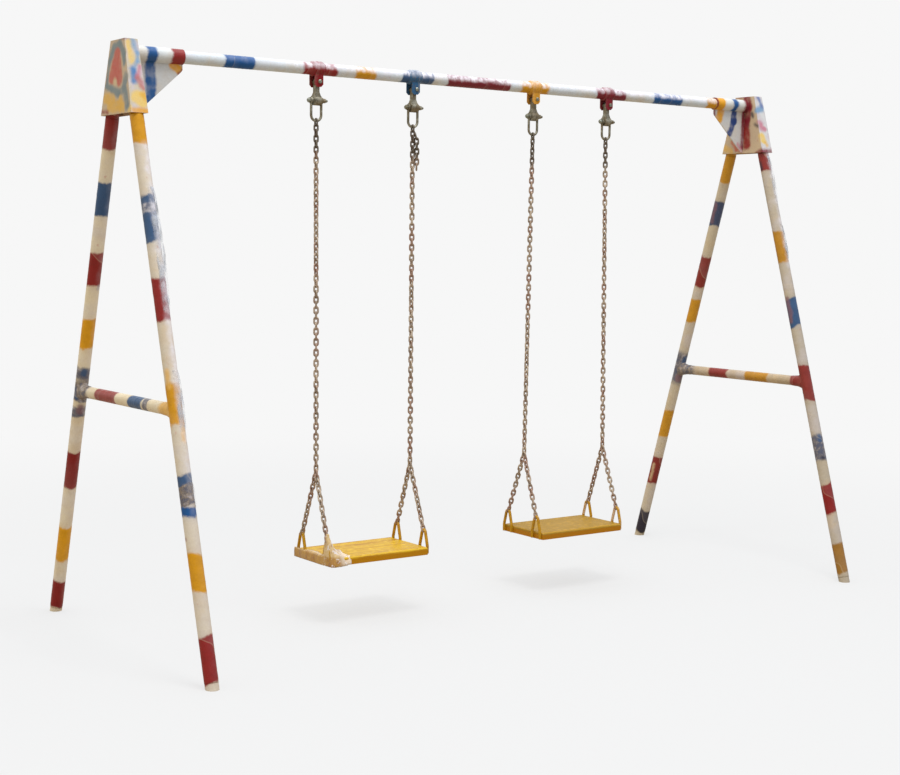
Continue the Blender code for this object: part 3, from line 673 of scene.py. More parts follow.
def seat_left_paint():
    """Glossy yellow, with brown streaks that run along the seat."""
    graph = Graph("seat_paint_left", coat=0.03, coat_roughness=0.2, specular=0.16)
    fan = graph.stretched((3.0, 80.0, 20.0), math.radians(-7.0))
    grain = graph.noise(1.0, 4.0, 0.65, fan)
    colour = graph.mix(graph.span(grain, 0.36, 0.62), rgb(192, 147, 8), rgb(205, 163, 16))
    for turn, low, strength in ((-3.0, 0.575, 0.6), (-11.0, 0.60, 0.65), (-6.0, 0.615, 0.4)):
        lines = graph.stretched((1.6, 44.0, 20.0), math.radians(turn))
        streak = graph.noise(1.0, 2.0, 0.6, lines)
        colour = graph.mix(graph.span(streak, low - 0.02, low + 0.015, 0.0, strength), colour,
                           rgb(160, 104, 22))
    dull = graph.noise(9.0, 3.0)
    colour = graph.mix(graph.span(dull, 0.4, 0.7, 0.0, 0.3), colour, rgb(206, 160, 46))
    # painted shade down the sides and a painted highlight along the nose
    graph.colour(seat_painted_shade_and_highlight(graph, colour, rgb(186, 126, 4), rgb(226, 188, 54)))
    graph.rough(graph.span(grain, 0.3, 0.7, 0.3, 0.5, "LINEAR"))
    graph.bump(graph.plus(streak, grain), 0.0006, 0.5)
    return graph.mat


def seat_right_paint():
    """Duller and rougher yellow with small brown spots."""
    graph = Graph("seat_paint_right", coat=0.02, coat_roughness=0.3, specular=0.2)
    fine = graph.noise(260.0, 4.0, 0.7)
    colour = graph.mix(graph.span(fine, 0.36, 0.66), rgb(147, 109, 18), rgb(164, 128, 32))
    dull = graph.noise(12.0, 4.0, 0.6)
    colour = graph.mix(graph.span(dull, 0.4, 0.68, 0.0, 0.5), colour, rgb(166, 130, 54))
    spots = graph.span(graph.noise(90.0, 2.0), 0.7, 0.76, 0.0, 0.5)
    colour = graph.mix(spots, colour, rgb(122, 86, 28))
    # painted shade down the sides and a painted highlight along the nose
    graph.colour(seat_painted_shade_and_highlight(graph, colour, rgb(178, 116, 4), rgb(188, 144, 46)))
    graph.rough(graph.span(fine, 0.3, 0.7, 0.42, 0.62, "LINEAR"))
    graph.bump(fine, 0.0004, 0.6)
    return graph.mat


def loop_paint():
    """Thick yellow paint, worn through to brown in places."""
    graph = Graph("loop_paint", coat=0.15, coat_roughness=0.15, specular=0.3)
    fine = graph.noise(140.0, 4.0, 0.7)
    colour = graph.mix(graph.span(fine, 0.35, 0.65), rgb(188, 134, 10), rgb(208, 158, 22))
    worn = graph.span(graph.noise(70.0, 3.0), 0.6, 0.68, 0.0, 0.6)
    graph.colour(graph.mix(worn, colour, rgb(140, 86, 20)))
    graph.rough(graph.span(fine, 0.3, 0.7, 0.34, 0.5, "LINEAR"))
    graph.bump(fine, 0.0005, 0.6)
    return graph.mat


LOOPS = loop_paint()
SEAT_MATS = {"left": seat_left_paint(), "right": seat_right_paint()}
for side in SIDES:
    finish_node("seat_" + side, SEAT_MATS[side])
    for hand in SIDES:
        for end in ENDS:
            finish_node("seat_%s_loop_%s_%s" % (side, hand, end), LOOPS)

# smooth shading on the round CAD nodes, creases kept
for name, obj in nodes.items():
    if name.startswith("gusset"):
        continue
    obj.data.shade_smooth()
    if "_loop_" in name:
        swell = obj.modifiers.new("thick_paint", "DISPLACE")
        swell.mid_level = 0.0
        swell.strength = 0.0013
    keep = obj.modifiers.new("corners", "EDGE_SPLIT")
    keep.split_angle = math.radians(32.0)


# ------------------------------------------------------------------ meshes
def piece(name, verts, faces, mat, body):
    """One visible mesh that rides on a body."""
    mesh = bpy.data.meshes.new(name)
    mesh.from_pydata([tuple(v) for v in verts], [], faces)
    mesh.materials.append(getattr(mat, "mat", mat))
    mesh.shade_smooth()
    obj = bpy.data.objects.new(name, mesh)
    bpy.context.scene.collection.objects.link(obj)
    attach(obj, body)
    return obj


FILM_THICKNESS = 0.0003


def thin(obj, thickness=FILM_THICKNESS, offset=0.0):
    """Give a sheet its thickness."""
    mod = obj.modifiers.new("film", "SOLIDIFY")
    mod.thickness = thickness
    mod.offset = offset
    return obj


def grid_faces(rows, columns, closed, ring=False):
    """Faces of a grid of vertices, row by row.

    closed joins the last column to the first, and ring the last row to the first."""
    faces = []
    for row in range(rows if ring else rows - 1):
        here, there = row * columns, (row + 1) % rows * columns
        for column in range(columns if closed else columns - 1):
            after = (column + 1) % columns
            faces.append((here + column, here + after, there + after, there + column))
    return faces


def sleeve(name, body, foot, axis, start, end, radius, mat, seed, pitch, ridge, wrinkle, step,
           around=36, arc=None, lift=None):
    """Film wound round a tube: a thin skin with a raised edge at each turn of the spiral.

    ridge is the height of that edge, wrinkle of the creases, and lift adds to both."""
    axis = Vector(axis).normalized()
    across = axis.cross(Vector((1.0, 0.0, 0.0)))
    if across.length < 0.1:
        across = axis.cross(Vector((0.0, 1.0, 0.0)))
    across.normalize()
    third = axis.cross(across)
    rows = max(3, int((end - start) / step))
    low, high = arc or (0.0, TAU)
    columns = around if arc is None else around + 1
    dice = random.Random(seed)
    turns = [dice.uniform(0.25, 1.0) for _ in range(int(abs(end - start) / pitch) + 6)]
    verts = []
    for row in range(rows + 1):
        along = start + (end - start) * row / rows
        edge = min(1.0, min(row, rows - row) * abs(end - start) / rows / 0.010)
        edge = edge * edge * (3.0 - 2.0 * edge)
        sway = 0.30 * noise.noise(Vector((along * 9.0, seed * 3.1, 0.5)))
        for column in range(columns):
            angle = low + (high - low) * column / around
            out = math.cos(angle) * across + math.sin(angle) * third
            turn = (along - start) / pitch + angle / TAU + sway + 2.0
            part = turn % 1.0
            crest = turns[int(turn) % len(turns)] * math.exp(-5.0 * part) * min(1.0, part * 14.0)
            spot = Vector(foot) + axis * along + out * radius
            rumple = noise.noise(spot * 75.0 + Vector((seed, 0, 0)))
            rumple += 0.5 * noise.noise(spot * 190.0 + Vector((0, seed, 0)))
            height = 0.0005 + edge * (ridge * crest + wrinkle * (0.55 + 0.45 * rumple))
            if lift:
                height += lift(along, angle) * edge
            verts.append(spot + out * height)
    obj = piece(name, verts, grid_faces(rows + 1, columns, arc is None), mat, body)
    return thin(obj, offset=-1.0)


# film over the legs, crossbars and beam
LEG_START, LEG_END = 0.022, 2.150
BEAM_SHOWN = 1.448           # the beam goes into its sockets here
for number, (side, end) in enumerate(LEG_BANDS):
    sleeve("film_leg_%s_%s" % (side, end), "frame", leg_foot(side, end), leg_axis(end),
           LEG_START, LEG_END, LEG_R, LEG_MATS[(side, end)], 3 + number,
           pitch=0.048, ridge=0.0007, wrinkle=0.0006, step=0.005)
for side in SIDES:
    reach = LEG_FOOT_Y - (LEG_FOOT_Y - LEG_TOP_Y) * BAR_Z[side] / BEAM_Z - LEG_R * 1.04 - 0.002
    sleeve("film_crossbar_" + side, "frame", (SIDES[side] * FRAME_X, 0.0, BAR_Z[side]), ALONG_Y,
           -reach, reach, BAR_R, BAR_MATS[side], 11,
           pitch=0.020, ridge=0.0007, wrinkle=0.0005, step=0.003)
# pairs of places where a stretch of film starts and ends, with the straps between them
stops = [-BEAM_SHOWN]
for hanger in HANGER_X:
    stops += [hanger - STRAP_HALF - 0.001, hanger + STRAP_HALF + 0.001]
stops.append(BEAM_SHOWN)
for number in range(0, len(stops), 2):
    sleeve("film_beam_%d" % (number // 2 + 1), "frame", BEAM_MIDDLE, ALONG_X,
           stops[number], stops[number + 1], BEAM_R, BEAM_MAT, 20 + number,
           pitch=0.017, ridge=0.0011, wrinkle=0.0005, step=0.0026)

# film pulled over the straps
SADDLE_HALF, SADDLE_LIFT = 0.036, 0.0056
for index, hanger in enumerate(HANGER_X):
    def saddle(along, angle, hanger=hanger):
        past = max(0.0, abs(along - hanger) - STRAP_HALF - 0.0015)
        ribs = 0.0010 * abs(math.sin(along * 230.0 + angle * 0.7))
        return SADDLE_LIFT * math.exp(-past / 0.006) + ribs

    sleeve("film_saddle_%d" % (index + 1), "frame", BEAM_MIDDLE, ALONG_X,
           hanger - SADDLE_HALF, hanger + SADDLE_HALF, BEAM_R, STRAP_MATS[index], 40 + index,
           pitch=0.019, ridge=0.0009, wrinkle=0.0006, step=0.0015, around=40,
           arc=(math.radians(-28), math.radians(208)), lift=saddle)


# ------------------------------------------------------------------- chains
WIRE = 0.0039
LINK_HALF_WIDTH = 0.0081     # wire axis to the link's middle


def link_verts(centre, down, side, pitch, verts, faces, around=8, arcs=7):
    """One oval link: its long way along down, its width along side."""
    straight = (pitch + 2 * WIRE) / 2.0 - LINK_HALF_WIDTH
    normal = down.cross(side).normalized()
    path = []
    for sign in (1, -1):
        for step in range(arcs + 1):
            angle = math.pi * step / arcs
            path.append((sign * LINK_HALF_WIDTH * math.cos(angle),
                         sign * (straight + LINK_HALF_WIDTH * math.sin(angle))))
    count = len(path)
    first = len(verts)
    for number, (u, v) in enumerate(path):
        before, after = path[number - 1], path[(number + 1) % count]
        run = Vector((after[0] - before[0], after[1] - before[1])).normalized()
        out = Vector((run.y, -run.x))
        spot = centre + side * u + down * v
        for turn in range(around):
            angle = TAU * turn / around
            lift = math.cos(angle) * (side * out.x + down * out.y) + math.sin(angle) * normal
            verts.append(spot + lift * WIRE)
    for a, b, c, d in grid_faces(count, around, True, True):
        faces.append((first + a, first + d, first + c, first + b))


def run_of_links(points, count, first_side, seed, swirl, verts, faces, wobble=6.0):
    """Links strung along a run of points, each a quarter turn from the last.

    swirl is how far, in degrees, the run twists slowly to and fro between its ends."""
    dice = random.Random(seed)
    lengths = [0.0]
    for a, b in zip(points, points[1:]):
        lengths.append(lengths[-1] + (Vector(b) - Vector(a)).length)
    pitch = (lengths[-1] - 2 * WIRE) / count

    def at(distance):
        distance = min(max(distance, 0.0), lengths[-1])
        for number in range(1, len(points)):
            if distance <= lengths[number] + 1e-9:
                share = (distance - lengths[number - 1]) / (lengths[number] - lengths[number - 1])
                return Vector(points[number - 1]).lerp(Vector(points[number]), share)
        return Vector(points[-1])

    for number in range(count):
        top, low = at(number * pitch), at(number * pitch + pitch + 2 * WIRE)
        down = (low - top).normalized()
        side = Vector(first_side)
        side = (side - down * side.dot(down)).normalized()
        share = number / max(1, count - 1)
        ease = min(1.0, 10.0 * share, 10.0 * (1.0 - share))
        slow = noise.noise(Vector((share * count * 0.055, seed * 1.7, 0.3)))
        turn = 90.0 * number + dice.uniform(-wobble, wobble) + ease * swirl * (0.55 + 1.3 * slow)
        side = Matrix.Rotation(math.radians(turn), 3, down) @ side
        link_verts((top + low) / 2.0, down, side, pitch, verts, faces)


def chain_piece(name, runs, body, *stood_for):
    """Runs of links as one mesh, in place of the CAD nodes it stands for."""
    verts, faces = [], []
    for run in runs:
        run_of_links(*run, verts=verts, faces=faces)
    obj = piece(name, verts, faces, CHAIN, body)
    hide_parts(*stood_for)
    return obj


CHAIN_TOP = SHACKLE_LOW + SHACKLE_ROD + WIRE
CHAIN_LOW = 0.6295
LEG_OFFSET = 0.0036          # the two bridle legs lie side by side in the lowest link
MAIN_LINKS, BRIDLE_LINKS = 66, 14
for index, hanger in enumerate(HANGER_X):
    side = "left" if index < 2 else "right"
    way = -1 if index % 2 == 0 else 1
    apex = SEAT_X[side] + way * APEX_X
    top, low = (hanger, 0.0, CHAIN_TOP), (apex, 0.0, CHAIN_LOW)
    chain_piece("links_chain_%d" % (index + 1),
                [([top, low], MAIN_LINKS, (0, 1, 0), 60 + index, 46.0)],
                side + "_swing", "chain_%d" % (index + 1))
    runs = []
    for sign in (-1, 1):
        start = (apex + sign * LEG_OFFSET, sign * 0.002, CHAIN_LOW + 2 * WIRE)
        finish = (SEAT_X[side] + way * LOOP_X, sign * LOOP_Y, LOOP_TOP - LOOP_ROD - WIRE)
        runs.append(([start, finish], BRIDLE_LINKS, (0, 1, 0), 70 + 2 * index + sign, 40.0))
    chain_piece("links_bridle_%d" % (index + 1), runs, side + "_seat",
                "bridle_%d" % (index + 1))
# the spare end, which hangs beside the second long chain
SPARE_END = [(-0.3530, -0.010, 2.064), (-0.3450, -0.011, 2.036), (-0.3430, -0.010, 1.990),
             (-0.3380, -0.002, 1.906)]
SPARE_LINKS = 7
chain_piece("links_spare_tail", [(SPARE_END, SPARE_LINKS, (0.6, 0.8, 0), 81, 30.0)],
            "left_swing", "chain_2_tail")


# -------------------------------------------------------- welds and loose film
def bead(name, points, radius, mat, body, closed=False, around=8):
    """A lumpy weld bead along a run of points."""
    count = len(points)
    verts = []
    for number, point in enumerate(points):
        point = Vector(point)
        before = Vector(points[number - 1] if closed or number else points[0])
        after = Vector(points[(number + 1) % count] if closed or number < count - 1 else point)
        run = (after - before).normalized()
        side = run.cross(Vector((0.31, 0.52, 0.79))).normalized()
        other = run.cross(side)
        size = radius * (1.0 + 0.22 * math.sin(number * 2.4) + 0.15 * noise.noise(point * 300.0))
        if not closed and number in (0, count - 1):
            size *= 0.25
        for turn in range(around):
            angle = TAU * turn / around
            verts.append(point + size * (math.cos(angle) * side + math.sin(angle) * other))
    faces = grid_faces(count, around, True, closed)
    if not closed:
        faces += [tuple(range(around - 1, -1, -1)), tuple(range((count - 1) * around, count * around))]
    return piece(name, verts, faces, mat, body)


def between(a, b, steps):
    """Evenly spaced points from a to b."""
    return [Vector(a).lerp(Vector(b), step / steps) for step in range(steps + 1)]


# the weld lines of a gusset in X and Z, under its socket and down the head, and their half width
GUSSET_WELDS = {"top": ((1.456, 2.2700), (1.655, 2.2700), 48),
                "side": ((1.6600, 2.262), (1.6552, 2.082), 44)}
GUSSET_HALF = 0.0042


def frame_welds(side, sign):
    """The ring round a beam socket, and the lines on both faces of its gusset."""
    socket_mat = nodes["beam_socket_" + side].material_slots[0].material
    gusset_mat = nodes["gusset_" + side].material_slots[0].material
    ring_x, ring_r, count = sign * (FRAME_X - 0.0300), SOCKET_R * 1.03, 56
    ring = [(ring_x, ring_r * math.cos(TAU * k / count), BEAM_Z + ring_r * math.sin(TAU * k / count))
            for k in range(count)]
    bead("weld_socket_" + side, ring, 0.0026, socket_mat, "frame", True)
    for end, face in ENDS.items():
        for edge, ((x1, z1), (x2, z2), steps) in GUSSET_WELDS.items():
            line = between((sign * x1, face * GUSSET_HALF, z1), (sign * x2, face * GUSSET_HALF, z2),
                           steps)
            bead("weld_gusset_%s_%s_%s" % (edge, side, end), line, 0.0018, gusset_mat, "frame")


def seat_welds(side, centre):
    """Short lines on both sides of each leg of the seat's loops."""
    for hand, way in SIDES.items():
        for end, front in ENDS.items():
            for spread in (-1, 1):
                for face in (-1, 1):
                    y = front * LOOP_Y + spread * LOOP_SPREAD + face * LOOP_ROD * 0.72
                    x = centre + way * (SEAT_HALF[0] + 0.0012)
                    line = between((x, y, SEAT_LOW + 0.005), (x, y, SEAT_TOP - 0.004), 8)
                    tag = "%s_%s_%s_%d%d" % (side, hand, end, spread > 0, face > 0)
                    bead("weld_loop_" + tag, line, 0.0015, LOOPS, side + "_seat")


for side, sign in SIDES.items():
    frame_welds(side, sign)
for side, centre in SEAT_X.items():
    seat_welds(side, centre)


LUMP_SHIFTS = (Vector((0.0, 0.0, 0.0)), Vector((31.4, 7.2, 15.8)), Vector((11.3, 47.1, 5.6)))


def lump(spot, scale, size, seed):
    """A vector of smooth noise, the same in every run, which noise.noise_vector isn't."""
    spot = Vector(spot) * scale + Vector((seed, seed * 0.7, -seed))
    return Vector([noise.noise(spot + shift) for shift in LUMP_SHIFTS]) * size


def tan_film():
    """Clear tan packing film, creased, whitish where it doubles up; lighter over the top, partly as a
    painted highlight, with painted shade in its creases and painted glints.
    """
    graph = Graph("tan_film", coat=0.6, coat_roughness=0.12)
    height = graph.coordinate(2)
    along = graph.coordinate(0)
    blur = graph.noise(28.0, 3.0, 0.6)
    colour = graph.mix(graph.span(blur, 0.35, 0.65), rgb(172, 122, 42), rgb(190, 145, 64))
    # lighter over the top, where it folds over: partly its doubled layer, partly a painted highlight
    raised = graph.plus(height, graph.times(blur, 0.016))
    colour = graph.mix(graph.span(raised, 0.286, 0.300), colour, rgb(217, 186, 132))
    right = graph.plus(along, graph.times(blur, 0.03))
    colour = graph.mix(graph.span(right, -0.800, -0.775, 0.0, 0.85), colour, rgb(226, 206, 180))
    # purple-brown in the creases: painted shade
    dark = graph.noise(1.0, 3.0, 0.65, graph.stretched((62.0, 50.0, 26.0)))
    colour = graph.mix(graph.span(dark, 0.54, 0.66, 0.0, 0.6), colour, rgb(142, 98, 88))
    glint = graph.noise(46.0, 2.0, 0.6, graph.vector("ADD", graph.point, (5.0, 2.0, 1.0)))
    depth = graph.coordinate(1)
    glint = graph.times(graph.span(glint, 0.56, 0.64, 0.0, 0.8),
                        graph.span(depth, -0.08, -0.05, 1.0, 0.0))
    colour = graph.mix(glint, colour, rgb(240, 232, 232))
    graph.colour(colour)
    graph.rough(graph.span(dark, 0.3, 0.7, 0.22, 0.45, "LINEAR"))
    graph.bump(graph.plus(dark, blur), 0.002, 0.8)
    return graph


TAN_FILM = tan_film()
END_X = SEAT_X["left"] - SEAT_HALF[0]
OUT_X = SEAT_X["left"] - LOOP_X - LOOP_ROD - 0.0022      # just outside the loops' bars


def ring_at(ring, share):
    """Point of a closed ring of (share, place) keys."""
    share %= 1.0
    for (low, a), (high, b) in zip(ring, ring[1:] + ((1.0 + ring[0][0], ring[0][1]),)):
        if low <= share <= high:
            t = (share - low) / (high - low)
            t = t * t * (3.0 - 2.0 * t) * 0.5 + t * 0.5
            return Vector(a).lerp(Vector(b), t)
    return Vector(ring[0][1])


# film gathered over the front loop at the left seat's outer end, like a small tent
ON_SEAT, UNDER = SEAT_TOP + 0.004, SEAT_LOW - 0.003      # heights of the film's free edges
TENT_FOOT = (
    (0.00, (OUT_X - 0.0005, -0.105, UNDER)), (0.08, (OUT_X - 0.0005, -0.130, UNDER)),
    (0.14, (OUT_X + 0.0010, -0.150, UNDER)), (0.20, (END_X, -0.1575, UNDER)),
    (0.27, (END_X + 0.027, -0.1580, 0.2465)), (0.34, (END_X + 0.053, -0.1570, 0.2480)),
    (0.40, (END_X + 0.072, -0.1560, 0.2510)), (0.44, (END_X + 0.078, -0.1530, 0.2700)),
    (0.48, (END_X + 0.076, -0.1430, ON_SEAT)), (0.55, (END_X + 0.064, -0.1250, ON_SEAT)),
    (0.62, (END_X + 0.046, -0.1000, ON_SEAT)), (0.70, (END_X + 0.030, -0.0750, ON_SEAT)),
    (0.78, (END_X + 0.014, -0.0550, ON_SEAT)), (0.84, (END_X - 0.001, -0.0470, ON_SEAT)),
    (0.89, (OUT_X + 0.0005, -0.0450, 0.2810)), (0.93, (OUT_X, -0.0550, 0.2620)),
    (0.97, (OUT_X - 0.0005, -0.0800, 0.2470)))
# height, outer x, inner x, front y, rear y of each ring above the foot
TENT_RINGS = (
    (0.2890, OUT_X, END_X + 0.052, -0.1510, -0.0580),
    (0.3000, OUT_X + 0.0003, END_X + 0.033, -0.1440, -0.0680),
    (0.3150, OUT_X + 0.0006, END_X + 0.018, -0.1370, -0.0760),
    (0.3330, OUT_X + 0.0008, END_X + 0.009, -0.1285, -0.0830),
    (0.3500, OUT_X + 0.0008, END_X + 0.004, -0.1210, -0.0895),
    (0.3660, OUT_X + 0.0025, END_X + 0.0005, -0.1135, -0.0965),
    (0.3800, OUT_X + 0.0040, END_X - 0.0010, -0.1105, -0.0995))
AROUND = 96
SQUARE = 2.6                 # how square a ring's corners are: 2 would be an ellipse


def tent_ring(level, share):
    """Point of a rounded square ring, a share of the way round it."""
    height, outer, inner, front, rear = level
    angle = TAU * share
    middle = Vector(((outer + inner) / 2.0, (front + rear) / 2.0, height))
    u, v = math.cos(angle), math.sin(angle)
    squareness = (abs(u) ** SQUARE + abs(v) ** SQUARE) ** (-1.0 / SQUARE)
    return middle + Vector((-(inner - outer) / 2.0 * u * squareness,
                            -(rear - front) / 2.0 * v * squareness, 0.0))


def tan_tent():
    """The film gathered over the loop, in rings from its foot on the seat up to its top."""
    verts = []
    bands, steps = len(TENT_RINGS), 5
    total = steps * bands + 1
    for row in range(total):
        band = min(row // steps, bands - 1)
        part = row / steps - band
        for column in range(AROUND):
            share = column / AROUND
            low = tent_ring(TENT_RINGS[band - 1], share) if band else ring_at(TENT_FOOT, share)
            spot = low.lerp(tent_ring(TENT_RINGS[band], share), part)
            slack = max(0.0, 1.0 - row / total) ** 0.7
            ruffle = 0.35 + 1.0 * math.exp(-((share - 0.46) / 0.13) ** 2)
            drift = noise.noise(Vector((share * 9.0, row * 0.08, 2)))
            pleat = math.sin(TAU * (share * 17.0 + 0.8 * drift))
            out = Vector((spot.x - (END_X + 0.002), spot.y + LOOP_Y, 0.0))
            out = out.normalized() if out.length > 1e-5 else Vector((0, 0, 1))
            spot += out * (0.0012 + 0.0024 * ruffle * slack * (pleat + 0.6))
            ear = math.exp(-((share - 0.515) / 0.035) ** 2) * math.exp(-((row - 7.0) / 5.0) ** 2)
            spot += (out * 0.010 + Vector((0.004, 0, 0.010))) * ear
            fine = lump(spot, 90.0, 0.0011 * ruffle, 4.0)
            spot += Vector((fine.x, fine.y, abs(fine.z)))
            verts.append(spot)
    tent = piece("tan_film_tent", verts, grid_faces(total, AROUND, True), TAN_FILM, "left_seat")
    thin(tent)


STRIP_REAR, STRIP_FRONT = 0.1535, -0.092


def tan_strip():
    """The same film along the end face, turned in over the top edge between the loops."""
    verts = []
    columns, rows = 15, 74
    for row in range(rows):
        y = STRIP_REAR - (STRIP_REAR - STRIP_FRONT) * row / (rows - 1)
        calm = min(1.0, abs(y - LOOP_Y) / 0.042) ** 3
        fold = (0.3 + 0.7 * math.exp(-((y - 0.01) / 0.05) ** 2)) * calm if y < LOOP_Y else 0.0
        profile = ((-0.0010, 0.2445), (-0.0014, 0.2560), (-0.0010, 0.2700), (-0.0004, 0.2795),
                   (0.0010 + 0.004 * fold, 0.2830 + 0.0040 * fold),
                   (0.0020 + 0.014 * fold, ON_SEAT + 0.0035 * fold),
                   (0.0030 + 0.024 * fold, ON_SEAT + 0.0008 * fold))
        for column in range(columns):
            at = column / (columns - 1) * (len(profile) - 1)
            k = min(int(at), len(profile) - 2)
            (x, z), (next_x, next_z) = profile[k:k + 2]
            spot = Vector((OUT_X + x + (next_x - x) * (at - k), y, z + (next_z - z) * (at - k)))
            fine = lump(spot, 40.0, 0.0006, 9.0)
            verts.append(spot + Vector((-abs(fine.x), fine.y, fine.z * 0.5)))
    strip = piece("tan_film_strip", verts, grid_faces(rows, columns, False), TAN_FILM,
                  "left_seat")
    thin(strip)


tan_tent()
tan_strip()


def clear_film(name, tint, low, high):
    """Thin clear film, seen mostly by its glints and creases."""
    graph = Graph(name, roughness=0.22, coat=0.35, coat_roughness=0.12)
    graph.colour(tint)
    creases = graph.noise(1.0, 1.5, 0.5, graph.stretched((34.0, 34.0, 13.0)))
    graph.put("Alpha", graph.span(creases, 0.46, 0.74, low, high))
    graph.bump(creases, 0.0012, 0.35)
    graph.rough(graph.span(creases, 0.3, 0.7, 0.2, 0.38, "LINEAR"))
    return graph


CLEAR = clear_film("loose_clear_film", rgb(206, 212, 222), 0.04, 0.50)
DUSTY = clear_film("dusty_clear_film", rgb(140, 136, 142), 0.02, 0.30)


def loose_film(name, key, start, end, middle, half, lift, seed, mat=CLEAR):
    """Film standing off a leg: between start and end along it, about an angle from its +X side."""
    foot, axis = Vector(leg_foot(*key)), Vector(leg_axis(key[1]))
    across = Vector((1.0, 0.0, 0.0))
    third = axis.cross(across)
    rows, columns = int((end - start) / 0.006) + 2, 22
    verts = []
    for row in range(rows):
        share = row / (rows - 1)
        along = start + (end - start) * share
        swell = math.sin(math.pi * share) ** 0.6
        for column in range(columns):
            u = 2.0 * column / (columns - 1) - 1.0
            angle = middle + half * u
            out = math.cos(angle) * across + math.sin(angle) * third
            rise = 0.0016 + lift * swell * (1.0 - u * u) ** 0.8
            spot = foot + axis * along + out * (LEG_R + rise)
            spot += out * abs(noise.noise(spot * 38.0 + Vector((seed, 0, 0)))) * 0.004 * swell
            verts.append(spot)
    obj = piece(name, verts, grid_faces(rows, columns, False), mat, "frame")
    thin(obj, 0.0002)
    return obj


# the side of a leg that faces the light, as an angle from +X about the leg
LIT = math.radians(-40.0)
loose_film("loose_film_left_front_1", ("left", "front"), 1.385, 1.860, LIT, 1.15, 0.009,
           1)
loose_film("loose_film_left_front_2", ("left", "front"), 0.930, 1.160, LIT, 1.05, 0.006,
           2)
loose_film("loose_film_left_front_3", ("left", "front"), 0.650, 0.745, LIT - 0.5, 1.4, 0.005,
           3, DUSTY)
loose_film("loose_film_right_front_1", ("right", "front"), 1.890, 2.130, LIT, 1.0, 0.007,
           4)
loose_film("loose_film_right_front_2", ("right", "front"), 1.600, 1.780, LIT, 0.9, 0.005,
           5)


def film_joint(side, end):
    """Film drawn tight over the joint of a leg and its crossbar."""
    verts = []
    rows, columns = 26, 48
    for row in range(rows):
        share = row / (rows - 1)
        for column in range(columns):
            angle = TAU * column / columns
            rise = abs(math.sin(angle)) ** 1.5 * math.exp(-share / 0.28)
            radius = BAR_R + 0.0014 + 0.014 * rise
            across, up = radius * math.cos(angle), radius * math.sin(angle)
            height = BAR_Z[side] + up
            leg_y = LEG_FOOT_Y - height * math.tan(LEG_TILT)
            depth = math.sqrt(max(0.0, LEG_R ** 2 - across ** 2)) / math.cos(LEG_TILT)
            near = leg_y - depth + 0.003
            far = LEG_FOOT_Y - BAR_Z[side] * math.tan(LEG_TILT) - LEG_R - 0.060
            spot = Vector((SIDES[side] * FRAME_X + across,
                           ENDS[end] * (near + (far - near) * share), height))
            shift = noise.noise(spot * 55.0) * 0.0014 * math.sin(math.pi * share)
            verts.append(spot + Vector((math.cos(angle), 0.0, math.sin(angle))) * shift)
    joint = piece("film_joint_%s_%s" % (side, end), verts, grid_faces(rows, columns, True),
                  BAR_MATS[side], "frame")
    thin(joint)


for side in SIDES:
    for end in ENDS:
        film_joint(side, end)

# ------------------------------------------------------------ floor and light
FLOOR_HALF = 60
BACKDROP = (0.930, 0.930, 0.930, 1.0)


def add_object(name, data):
    obj = bpy.data.objects.new(name, data)
    bpy.context.scene.collection.objects.link(obj)
    return obj


def studio_floor():
    """A warm grey floor that fades into the backdrop, as the camera sees it."""
    corners = [(x * FLOOR_HALF, y * FLOOR_HALF, 0) for x, y in ((-1, -1), (1, -1), (1, 1), (-1, 1))]
    mesh = bpy.data.meshes.new("floor")
    mesh.from_pydata(corners, [], [(0, 1, 2, 3)])
    graph = Graph("floor", roughness=0.9)
    seen = graph.node("LightPath").outputs["Is Camera Ray"]
    graph.colour(graph.mix(seen, rgb(168, 154, 134), rgb(196, 196, 196)))
    away = graph.vector("LENGTH", graph.point)
    glow = graph.node("Emission", {"Color": BACKDROP, "Strength": 1.0}).outputs[0]
    share = graph.times(seen, graph.span(away, 1.6, 6.5, 0.7, 1.0))
    fade = graph.node("MixShader", {0: share, 1: graph.shader.outputs[0], 2: glow}).outputs[0]
    put(graph.tree, graph.tree.nodes["Material Output"].inputs[0], fade)
    mesh.materials.append(graph.mat)
    add_object("floor", mesh)


GROUND_GLOW = (0.42, 0.34, 0.24, 1.0)
HORIZON = (0.52, 0.53, 0.53, 1.0)
ZENITH = (1.50, 1.53, 1.56, 1.0)
WARM_WAY, WARMTH = (-0.81, 0.586, 0.0), (0.20, 0.17, 0.08)


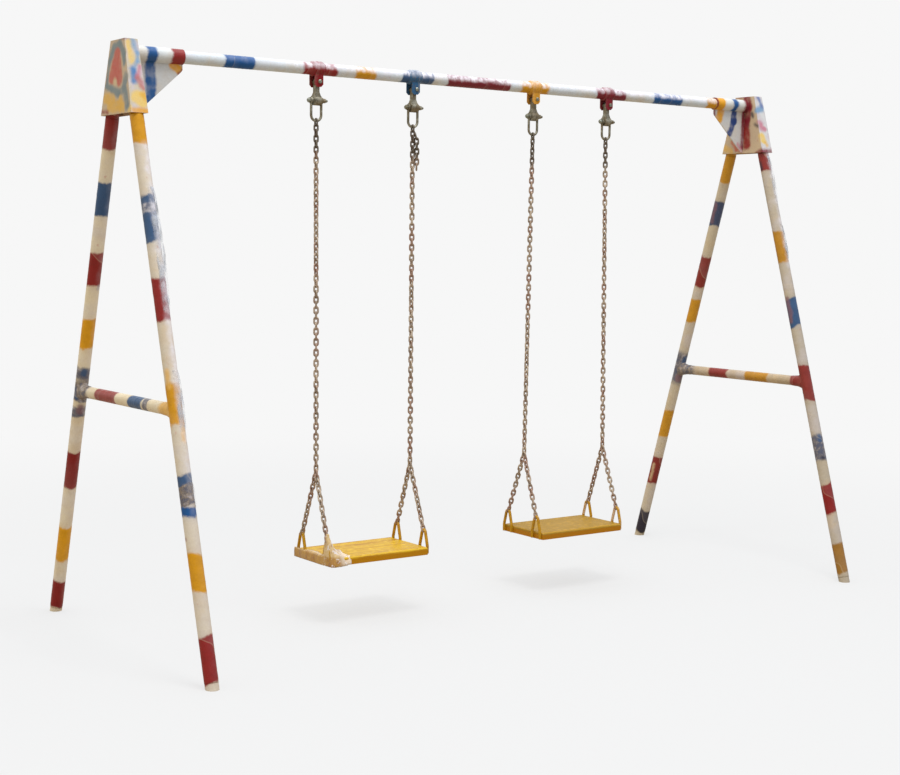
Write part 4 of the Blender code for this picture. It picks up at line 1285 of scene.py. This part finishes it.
def studio_world():
    """Light that falls off from the zenith down and is warmer from the left.

    The camera sees an even backdrop."""
    world = bpy.data.worlds.new("studio")
    bpy.context.scene.world = world
    world.use_nodes = True
    tree = world.node_tree
    direction = add_node(tree, "TexCoord").outputs["Generated"]
    height = add_node(tree, "SeparateXYZ", {0: direction}).outputs[2]
    share = add_node(tree, "MapRange", {"Value": height, "From Min": -1.0, "From Max": 1.0})
    ramp = add_node(tree, "ValToRGB", {0: share.outputs[0]})
    keys = ramp.color_ramp.elements
    keys[0].color = GROUND_GLOW
    keys[1].color = ZENITH
    for place, colour in ((0.48, GROUND_GLOW), (0.54, HORIZON)):
        keys.new(place).color = colour
    sideways = add_node(tree, "VectorMath", {0: direction, 1: WARM_WAY}, operation="DOT_PRODUCT")
    warmth = add_node(tree, "VectorMath", {0: WARMTH, "Scale": sideways.outputs["Value"]},
                      operation="SCALE")
    toned = add_node(tree, "VectorMath", {0: ramp.outputs[0], 1: warmth.outputs["Vector"]},
                     operation="ADD")
    seen = add_node(tree, "LightPath").outputs["Is Camera Ray"]
    mixed = add_node(tree, "Mix", {0: seen, 6: toned.outputs["Vector"], 7: BACKDROP},
                     data_type="RGBA")
    put(tree, tree.nodes["Background"].inputs[0], mixed.outputs[2])


def area_light(name, place, target, size, power, colour):
    data = bpy.data.lights.new(name, "AREA")
    data.size = size
    data.energy = power
    data.color = colour
    lamp = add_object(name, data)
    lamp.location = place
    lamp.rotation_euler = (Vector(target) - Vector(place)).to_track_quat("-Z", "Y").to_euler()


CAMERA_PLACE = (-4.2673, -5.6950, 1.6008)
CAMERA_LOOK = Vector((0.584255, 0.806408, -0.091396))
CAMERA_RIGHT = Vector((0.810472, -0.585610, 0.014022))
CAMERA_UP = Vector((0.042214, 0.082266, 0.995716))
CAMERA_LENS = 63.543


def photo_camera():
    """The camera that was fitted to the photograph."""
    data = bpy.data.cameras.new("camera")
    data.lens = CAMERA_LENS
    camera = add_object("camera", data)
    turn = Matrix((CAMERA_RIGHT, CAMERA_UP, -CAMERA_LOOK)).transposed().to_4x4()
    camera.matrix_world = Matrix.Translation(CAMERA_PLACE) @ turn
    bpy.context.scene.camera = camera


studio_floor()
studio_world()
area_light("key", (-0.5, -2.2, 8.0), (0, 0, 1.2), 2.4, 260.0, (1.0, 0.99, 0.98))
photo_camera()
bpy.context.scene.view_settings.view_transform = "Standard"
